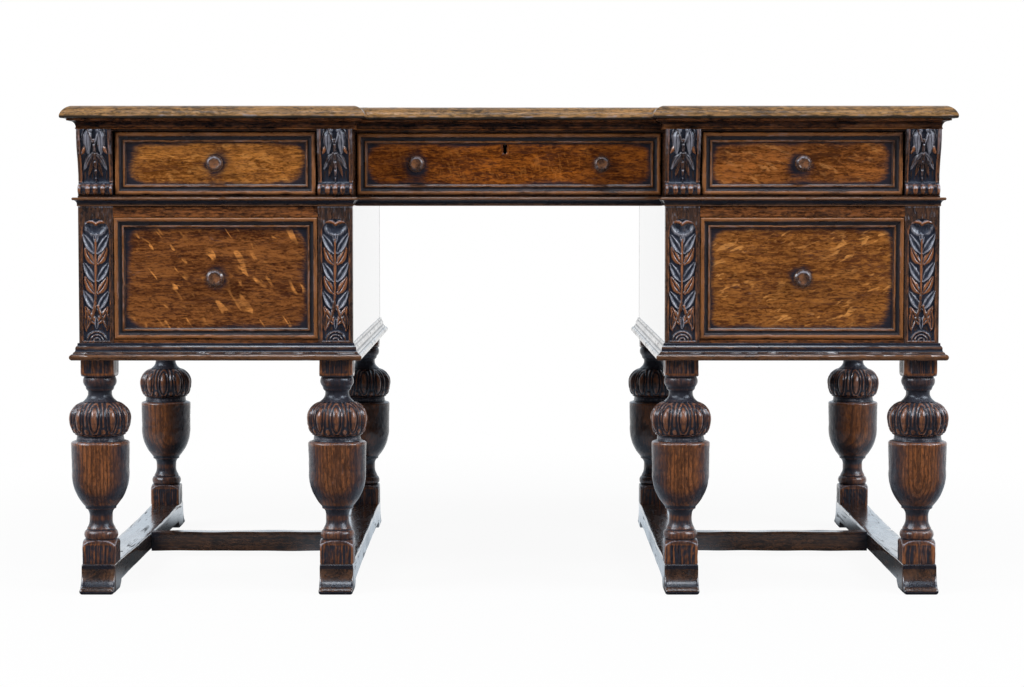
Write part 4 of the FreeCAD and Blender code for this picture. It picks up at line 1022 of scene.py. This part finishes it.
# ---------------------------------------------------------------- drawer fronts
# Ten oak fronts, the same on both faces of the desk. Each field is framed by a mitred moulding: a
# bold bead at the edge, a cove and a small inner bead. Dirt has crept in from the frame, and a dark
# ring of dirt and painted shadow lies round each knob.
FRAME_BAND = 17.3
FRAME_H = 8.5
FRAME_PROFILE = [(0, 0.02), (FRAME_BAND, 0.02), (FRAME_BAND, 5.8), (10.8, 5.6, 14.1, FRAME_H), (10.4, 3.6),
                 (5.2, 2.0, 7.4, 2.1), (4.9, 3.2), (1.9, 3.2, 3.4, 4.7), (1.6, 1.0), (0, 0.5), (0, 0.02)]
FRONT_T = 20 * MM
TAIL_RELIEF = 0.3 * MM      # the sides' dovetails stand this much proud of the front's ends
KEYHOLE = [(-3.3, -12.4), (3.3, -12.4), (2.8, -7.0), (3.1, -2.2), (-3.1, -2.2, 0.0, 3.8), (-2.8, -7.0),
           (-3.3, -12.4)]
KEYHOLE_X, KEYHOLE_DROP = -6.5 * MM, 21.0 * MM      # from the front's middle and its top
LOCK_RECESS = (60.4 * MM, 44.2 * MM, 10.2 * MM)     # width, height and depth, open at the top
CELL_W, CELL_H = 0.0024, 0.0022                     # half the width and height of a mesh cell
# How far dirt creeps in from a frame's ends, from its long sides and from its corners, and how far
# the ring of dirt and painted shadow reaches from a knob.
CREEP_END, CREEP_SIDE, CREEP_CORNER, KNOB_RING_REACH = 7.8 * MM, 4.4 * MM, 10 * MM, 18.2 * MM
# Colours of each field's dark wood, light wood and rays, then the rays' amount, slant and scale.
FIELDS = {
    "left_pedestal": ((0.048, 0.013, 0.004), (0.225, 0.078, 0.019), (0.56, 0.215, 0.050), 1.0, 0.95, 1.0),
    "right_pedestal": ((0.075, 0.022, 0.006), (0.300, 0.110, 0.022), (0.50, 0.21, 0.052), 0.9, -0.4, 1.7),
    "left_frieze": ((0.110, 0.034, 0.006), (0.440, 0.165, 0.032), (0.58, 0.25, 0.060), 0.5, 0.2, 1.4),
    "right_frieze": ((0.066, 0.019, 0.004), (0.320, 0.104, 0.021), (0.50, 0.21, 0.060), 0.5, 0.5, 1.4),
    "centre_frieze": ((0.062, 0.015, 0.003), (0.330, 0.092, 0.010), (0.48, 0.17, 0.030), 0.25, 1.3, 1.9)}
FRAME_FINISH = waxed_oak("drawer_frame_oak", (0.014, 0.009, 0.009), (0.085, 0.036, 0.018), (0.12, 0.06, 0.03),
                         (0.225, 0.086, 0.027), (0.026, 0.025, 0.030), ray_amount=0.1, coat=0.65,
                         coat_roughness=0.14, specular=0.3, bump=0.2)
PULL = 150.5 * MM           # from the middle of a middle drawer to each of its two knobs
# Each drawer's name, and the places of its knobs to the side of its middle.
DRAWERS = [("%s_%s_drawer" % (face, place), (-PULL, PULL) if place == "centre_frieze" else (0.0,))
           for face in ("front", "rear") for place in FIELDS]
LOCKED = "front_centre_frieze_drawer"


def field_dirt_and_shade(x, z, half_w, half_h, knobs, halo, seed):
    """The dark on a field: dirty and thick at the frame, deeper in the corners, and a ring round each
    knob that is dirty wood and painted shadow.
    """
    place = np.stack([x, z, 0 * x], -1)
    edge_x = half_w - FRAME_BAND * MM - np.abs(x)
    edge_z = half_h - FRAME_BAND * MM - np.abs(z)
    wander = 1 + 0.25 * uneven(place, 0.03, seed)
    dirt_and_shade = 0.95 * np.exp(-share(edge_x) / (CREEP_END * wander))
    dirt_and_shade += 0.85 * np.exp(-share(edge_z) / (CREEP_SIDE * wander))
    dirt_and_shade += 0.65 * np.exp(-np.hypot(share(edge_x), share(edge_z)) / CREEP_CORNER)
    for knob_x in knobs:
        dirt_and_shade += halo * near(np.hypot(x - knob_x, z), 0, KNOB_RING_REACH * wander ** 0.3)
    return np.clip(dirt_and_shade + 0.12 * uneven(place, 0.05, seed + 1), 0, 1.3)


def drawer_front(name, knobs, seed):
    """A drawer's board with the dark of dirty wood and painted shade on its field, its lock's recess, and
    the frame planted on it.
    """
    node, locked = name + "_front", name == LOCKED
    low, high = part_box(node)
    sy = -1 if name.startswith("front") else 1
    middle_x, middle_z = (low.x + high.x) / 2, (low.z + high.z) / 2
    half_w, half_h = (high.x - low.x) / 2, (high.z - low.z) / 2
    field_y = max(-low.y, high.y) - FRAME_H * MM
    x = np.linspace(-half_w + TAIL_RELIEF, half_w - TAIL_RELIEF, int(half_w / CELL_W))
    z = np.linspace(-half_h, half_h, int(half_h / CELL_H))
    recess_w, recess_h, recess_d = LOCK_RECESS
    if locked:
        cheeks = [KEYHOLE_X + side * recess_w / 2 + step
                  for side in (-1, 1) for step in (-0.05 * MM, 0.05 * MM)]
        x = np.sort(np.concatenate([x, cheeks]))
    xs, zs = np.meshgrid(x, z, indexing="ij")
    sag = 0.25 * MM * uneven(np.stack([xs, zs, 0 * xs], -1), 0.06, seed) - 0.35 * MM
    face = np.stack([xs, field_y + np.where(np.abs(xs) < half_w - 20 * MM, sag, -0.1 * MM), zs], -1)
    recessed = locked * (np.abs(x - KEYHOLE_X) < recess_w / 2)
    back_y = np.full(len(x), field_y - FRONT_T + 0.2 * MM)
    lock_y = np.where(recessed, field_y - FRONT_T + recess_d, back_y)
    shoulder_z = half_h - recess_h
    back = [np.stack([x, y, end + 0 * x], -1)[:, None]
            for y, end in ((lock_y, half_h), (lock_y, np.where(recessed, shoulder_z, shoulder_z + 20 * MM)),
                           (back_y, shoulder_z), (back_y, -half_h))]
    rings = np.concatenate([face, *back], 1)
    # The dark ring round each knob is dirt and painted shadow, heavier on the right pedestal's drawers.
    halo = 1.9 if "right_pedestal" in name else 1.4
    dirt_and_shade = field_dirt_and_shade(rings[..., 0], rings[..., 2], half_w, half_h, knobs, halo, seed)
    dirt_and_shade[:, -4:] = 0.1
    log = trunk(rings, 0, seed)
    rings = rings * np.array([1, sy, 1]) + np.array([middle_x, 0, middle_z])
    dark, light, ray, ray_amount, slant, ray_scale = FIELDS["_".join(name.split("_")[1:3])]
    # The dark for dirt and painted shade on the field is tinted blue, a painted reflection.
    finish = waxed_oak(node + "_oak", dark, light, ray, light, (0.015, 0.016, 0.024), ray_amount=ray_amount,
                       ray_slant=slant, ray_scale=ray_scale, coat=0.25, coat_roughness=0.2, specular=0.12)
    board = lofted(name + "_board", [(rings, 0.0, dirt_and_shade, log)], finish)
    if locked:
        cut_keyhole(board, x + middle_x, z + middle_z, (KEYHOLE_X, high.z - KEYHOLE_DROP), -field_y)
    fit(board, name, "drawer_front_oak", node)
    inset = FRAME_BAND * MM
    path = rectangle(-half_w + inset, half_w - inset, -half_h + inset, half_h - inset)
    runs = []
    for run, rub, grime_and_shade, run_log in mitred_run(path, FRAME_PROFILE, 5 * MM, seed + 60, 0.35, 36, 0.3):
        turned = np.stack([run[..., 0] + middle_x, sy * (field_y + run[..., 2]), run[..., 1] + middle_z], -1)
        across = half_w - np.abs(run[..., 0]), half_h - np.abs(run[..., 1])
        inside = np.minimum(*across) > 5.2 * MM
        worn = uneven(run, 0.05, seed + 3)
        # A painted highlight along the crests of the beads.
        sheen_amount = 0.14 * rub ** 2 * inside + 0.14 * rub ** 3
        brown = rub ** 1.3 * np.where(inside, 0.8, 0.95) + 0.12 * worn
        runs.append((turned, brown, 0.85 * grime_and_shade, run_log, sheen_amount))
    fit(lofted(name + "_frame", runs, FRAME_FINISH), name, "drawer_front_oak", node)


def cut_keyhole(board, x, z, spot, face_y):
    """Cut the keyhole through the front's face as far as the lock behind it, its inside painted black as
    shade.
    """
    deep = 9.0 * MM
    outline = drawn(KEYHOLE, 0.6)[:-1] * MM + np.array(spot)
    i0, i1 = np.searchsorted(x, spot[0] - 4.5 * MM) - 1, np.searchsorted(x, spot[0] + 4.5 * MM)
    j0, j1 = np.searchsorted(z, spot[1] - 13.5 * MM) - 1, np.searchsorted(z, spot[1] + 5.0 * MM)
    rows = len(z) + 4
    border = ([(i, j0) for i in range(i0, i1)] + [(i1, j) for j in range(j0, j1)]
              + [(i, j1) for i in range(i1, i0, -1)] + [(i0, j) for j in range(j1, j0, -1)])
    work = bmesh.new()
    work.from_mesh(board.data)
    work.verts.ensure_lookup_table()
    kept_log = work.verts.layers.float_vector["log"]
    kept_grime_and_shade = work.verts.layers.float["grime_and_shade"]
    ring = [work.verts[i * rows + j] for i, j in border]
    cells = {(i, j) for i in range(i0, i1) for j in range(j0, j1)}
    doomed = [f for f in work.faces if len(f.verts) == 4
              and tuple(np.min([divmod(v.index, rows) for v in f.verts], 0)) in cells
              and max(divmod(v.index, rows)[1] for v in f.verts) < len(z)]
    sample = np.array(ring[0][kept_log]) - np.array(ring[0].co)
    bmesh.ops.delete(work, geom=doomed, context="FACES_ONLY")
    angle = lambda p: math.atan2(p[1] - spot[1] + 4 * MM, p[0] - spot[0])
    border_turn = np.unwrap([angle((v.co.x, v.co.z)) for v in ring])
    mouth_turn = np.unwrap([angle(p) for p in outline])
    loops = []
    # The keyhole's walls and floor are painted near black: painted shade.
    for painted_shade, y in ((0.45, face_y), (2.0, face_y + 0.8 * MM), (2.6, face_y + deep)):
        loop = []
        for turn in border_turn:
            k = np.argmin(np.abs((mouth_turn - turn + math.pi) % (2 * math.pi) - math.pi))
            vert = work.verts.new((outline[k][0], y, outline[k][1]))
            vert[kept_log] = tuple(np.array(vert.co) + sample)
            vert[kept_grime_and_shade] = painted_shade
            loop.append(vert)
        loops.append(loop)
    for outer, mouth in ((ring, loops[0]), (loops[0], loops[1]), (loops[1], loops[2])):
        for k in range(len(ring)):
            after = (k + 1) % len(ring)
            corners = list(dict.fromkeys([outer[k], outer[after], mouth[after], mouth[k]]))
            work.faces.new(corners).smooth = True
    work.faces.new(loops[2])
    bmesh.ops.delete(work, geom=[v for v in work.verts if not v.link_faces], context="VERTS")
    bmesh.ops.remove_doubles(work, verts=sum(loops, []), dist=0.02 * MM)
    bmesh.ops.recalc_face_normals(work, faces=work.faces)
    work.to_mesh(board.data)
    work.free()


for number, (drawer_name, pulls) in enumerate(DRAWERS):
    drawer_front(drawer_name, pulls, 400 + 10 * number)


# ---------------------------------------------------------------- knobs
# Twelve turned oak knobs, two on each middle drawer and one on every other. Each has a dished face
# and a thin neck, and its pin goes through the front.
KNOB_R = 13.5
KNOB_ROWS, KNOB_STEPS = 60, 44
KNOB_HEAD = [(7.8, 9.0), (KNOB_R, 16.0, 11.9, 11.6), (10.8, 22.4, 13.0, 19.8), (8.4, 24.2, 9.8, 23.9),
             (7.2, 23.4), (0.25, 22.0)]
KNOB_FINISH = waxed_oak("knob_oak", (0.026, 0.014, 0.011), (0.105, 0.050, 0.028), (0.16, 0.09, 0.05),
                        (0.21, 0.085, 0.034), (0.009, 0.008, 0.010), ray_amount=0.15, coat=0.9,
                        coat_roughness=0.16)


def knob_parts(name, knobs, seed):
    """Each knob of a drawer, from the end of its pin to the middle of its dished face."""
    low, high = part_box(name + "_front")
    sy = -1 if name.startswith("front") else 1
    field_y = max(-low.y, high.y) - FRAME_H * MM
    knob_low, knob_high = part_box(name + ("_knobs" if len(knobs) > 1 else "_knob"))
    large = (knob_high.z - knob_low.z) / 2 / MM / KNOB_R
    head = [tuple(v * large if i % 2 == 0 else v for i, v in enumerate(point)) for point in KNOB_HEAD]
    neck = [(4.9, -17), (4.9, -1.0), (11.0, -1.0), (11.0, 1.2), (7.4, 6.4, 8.2, 3.2)]
    line, edge, hollow = eased(drawn(neck + head), KNOB_ROWS, wrap=False, soften=0.4, look=1.6)
    turns = np.arange(KNOB_STEPS)[None] * 2 * math.pi / KNOB_STEPS
    parts = []
    for i, knob_x in enumerate(knobs):
        x = line[:, :1] * np.cos(turns) * MM
        z = line[:, :1] * np.sin(turns) * MM
        out = line[:, 1:] * MM + 0 * turns
        worn = uneven(np.stack([x, z, out], -1), 0.008, seed + i)
        shrink = 1 - 0.012 * np.abs(worn)
        rings = np.stack([x * shrink, sy * (field_y + out), z * shrink], -1)
        rings = rings + np.array([(low.x + high.x) / 2 + knob_x, 0, (low.z + high.z) / 2])
        across = line[:, :1] / large
        # A painted highlight round the lip, stronger on its upper side. The neck and the back of the head are
        # darker: dirt and painted shade.
        lip = (line[:, 1:] > 18) * near(across, 9.9, 2.3) * (0.75 + 0.35 * np.sin(turns))
        dish = (line[:, 1:] > 18) * share((8.4 - across) / 1.2)
        rub = 0.4 * edge[:, None] + 0.7 * dish + 0.15 * worn
        grime_and_shade = 0.9 * hollow[:, None] * (1 - dish) + 0.8 * (line[:, 1:] < 9) + 0 * turns
        painted_sheen = 0.5 * lip + 0.05 * (line[:, 1:] > 12) * (1 - dish) + 0 * turns
        parts.append((rings, rub, grime_and_shade, trunk(rings, 1, seed + i), painted_sheen))
    return parts


for number, (drawer_name, pulls) in enumerate(DRAWERS):
    plural = "s" * (len(pulls) - 1)
    turned_parts = knob_parts(drawer_name, pulls, 520 + number)
    turned_knobs = lofted(drawer_name + "_turned_knob" + plural, turned_parts, KNOB_FINISH)
    fit(turned_knobs, drawer_name, "knob_oak", drawer_name + "_knob" + plural)


# ---------------------------------------------------------------- drawer boxes and lock
# Dovetailed sides, backs and bottoms of dry unpolished oak, and the iron lock let into the back of
# the middle front, with its bolt.
LINING_FINISH = waxed_oak("drawer_lining_oak", (0.17, 0.10, 0.05), (0.42, 0.28, 0.15), (0.50, 0.35, 0.20),
                          (0.4, 0.3, 0.2), (0.06, 0.04, 0.028), ray_amount=0.5, coat=0.0, along=("X", "Y"))
for kept_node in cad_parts:
    if kept_node.endswith("_drawer_box"):
        dress(kept_node, LINING_FINISH)


def lock_iron():
    """Dull iron with a haze of rust."""
    finish, tree, surface = new_finish("lock_iron")
    place = add_node(tree, "TexCoord", {}, output=3)
    rust = between(tree, grainy(tree, place, (180, 180, 180), 5.0), 0.45, 0.65)
    feed(tree, surface, {
        "Base Color": mixed(tree, rust, (0.11, 0.10, 0.09, 1), (0.13, 0.055, 0.025, 1)),
        "Roughness": between(tree, rust, 0, 1, 0.42, 0.8), "Metallic": between(tree, rust, 0, 1, 0.9, 0.2),
        "Normal": add_node(tree, "Bump", {"Strength": 0.3, "Distance": 0.0004, "Height": rust})})
    return finish


LOCK_FINISH = lock_iron()
dress("drawer_lock_case", LOCK_FINISH)
dress("drawer_lock_bolt", LOCK_FINISH)


# ---------------------------------------------------------------- floor
# A pale, matt studio floor that the desk's feet stand on. It keeps a soft shadow. What the polish
# mirrors of it glows: dark in front of the desk, with a painted shadow under the pedestals.
FLOOR_REACH = 30


def pale_floor():
    finish, tree, surface = new_finish("floor")
    feed(tree, surface, {"Base Color": (0.55, 0.55, 0.55, 1), "Roughness": 0.9, "Specular IOR Level": 0.0})
    place = add_node(tree, "NewGeometry", {})
    far = add_node(tree, "VectorMath", {0: place}, output=1, operation="LENGTH")
    whiter = between(tree, far, 0.75, 1.9, 0.94, 1.0)
    ahead = add_node(tree, "SeparateXYZ", {0: place}, output=1)
    aside = size_of(tree, add_node(tree, "SeparateXYZ", {0: place}))
    # A painted shadow under the pedestals, seen only in what the polish mirrors.
    painted_pedestal_shadow = times(tree, between(tree, aside, 0.34, 0.42), between(tree, aside, 0.68, 0.76, 1.0, 0.0))
    painted_pedestal_shadow = times(tree, painted_pedestal_shadow, between(tree, ahead, -0.44, -0.10, 0.0, 0.92))
    painted_pedestal_shadow = times(tree, painted_pedestal_shadow, between(tree, ahead, 0.35, 0.6, 1.0, 0.0))
    # What the polish mirrors of the floor glows, dark in front of the desk and brighter behind it.
    glow = between(tree, ahead, -0.46, -0.22, 0.02, 0.70)
    glow = plus(tree, glow, between(tree, ahead, 0.2, 1.0, 0.0, 0.3))
    glow = times(tree, glow, minus(tree, 1.0, painted_pedestal_shadow))
    path = tree.nodes.new("ShaderNodeLightPath").outputs
    seen = larger(tree, path["Is Camera Ray"], path["Is Transmission Ray"])
    seen = larger(tree, times(tree, seen, whiter), path["Is Glossy Ray"])
    mirrored = add_node(tree, "Mix", {0: path["Is Glossy Ray"], 2: 1.0, 3: glow})
    close_by = times(tree, path["Is Glossy Ray"], between(tree, ahead, 0.3, 1.2, 1.0, 0.0))
    tint = mixed(tree, close_by, (1, 1, 1, 1), (0.80, 0.90, 1.0, 1))
    white = add_node(tree, "Emission", {"Color": tint, "Strength": mirrored})
    shown = add_node(tree, "MixShader", {0: seen, 1: surface.outputs[0], 2: white})
    tree.links.new(shown, tree.nodes["Material Output"].inputs["Surface"])
    mesh = bpy.data.meshes.new("floor")
    corners = rectangle(-FLOOR_REACH, FLOOR_REACH, -FLOOR_REACH, FLOOR_REACH)
    mesh.from_pydata([(*corner, 0) for corner in corners], [], [(0, 1, 2, 3)])
    mesh.materials.append(finish)
    floor = bpy.data.objects.new("floor", mesh)
    bpy.context.scene.collection.objects.link(floor)


pale_floor()


# ---------------------------------------------------------------- light
# A white studio that the eye and every polished face see, darker in front of the desk, with two
# large soft lamps high at the front corners and a smaller one over the front.
LAMP_DISTANCE = 5.0
LAMP_AIM = 0.45             # height that the lamps point at
LAMP_WHITE = (0.95, 0.975, 1.0)
# Each lamp's turn and lift in degrees, its width and height, and its watts.
LAMPS = ((-64, 30, 3.2, 2.0, 255.0), (64, 30, 3.2, 2.0, 255.0), (0, 62, 2.6, 1.0, 80.0))
SKY = 0.24


def studio():
    world = bpy.data.worlds.new("studio")
    world.use_nodes = True
    bpy.context.scene.world = world
    tree = world.node_tree
    path = tree.nodes.new("ShaderNodeLightPath").outputs
    way = add_node(tree, "TexCoord", {}, output=0)
    ahead = add_node(tree, "SeparateXYZ", {0: way}, output=1)
    room = between(tree, ahead, -0.1, 0.65, 0.03, 1.0)
    seen = larger(tree, path["Is Camera Ray"], path["Is Transmission Ray"])
    strength = add_node(tree, "Mix", {0: path["Is Glossy Ray"], 2: SKY, 3: room})
    strength = add_node(tree, "Mix", {0: seen, 2: strength, 3: 1.0})
    tree.links.new(strength, tree.nodes["Background"].inputs["Strength"])
    above = between(tree, add_node(tree, "SeparateXYZ", {0: way}, output=2), 0.06, 0.14)
    cool = mixed(tree, times(tree, path["Is Glossy Ray"], above), (1, 1, 1, 1), (0.78, 0.89, 1.0, 1))
    tree.links.new(cool, tree.nodes["Background"].inputs["Color"])
    for turn, lift, wide, tall, power in LAMPS:
        lamp = bpy.data.lights.new("soft lamp", "AREA")
        lamp.shape = "RECTANGLE"
        lamp.size, lamp.size_y = wide, tall
        lamp.energy = power
        lamp.color = LAMP_WHITE
        holder = bpy.data.objects.new("soft lamp", lamp)
        turn, lift = math.radians(turn), math.radians(lift)
        holder.location = (LAMP_DISTANCE * math.sin(turn) * math.cos(lift),
                           -LAMP_DISTANCE * math.cos(turn) * math.cos(lift),
                           LAMP_AIM + LAMP_DISTANCE * math.sin(lift))
        holder.rotation_euler = (math.pi / 2 - lift, 0, turn)
        bpy.context.scene.collection.objects.link(holder)


studio()
bpy.context.scene.view_settings.view_transform = "Standard"


# ---------------------------------------------------------------- camera
# A long lens some four metres in front of the desk, as high as the drawers' pedestals and a little
# right of the middle. It is tipped down slightly, which brings in the floor at the feet.
FRAME_PIXELS = 1024
FOCAL_PIXELS = 2500
SENSOR_MM = 36
CAMERA_PLACE = (0.0049, -4.404, 0.641)
TIPPED_DOWN = 0.060         # radians
camera = bpy.data.objects.new("camera", bpy.data.cameras.new("camera"))
camera.data.sensor_width = SENSOR_MM
camera.data.lens = FOCAL_PIXELS * SENSOR_MM / FRAME_PIXELS
camera.location = CAMERA_PLACE
camera.rotation_euler = (math.pi / 2 - TIPPED_DOWN, 0, 0)
bpy.context.scene.collection.objects.link(camera)
bpy.context.scene.camera = camera
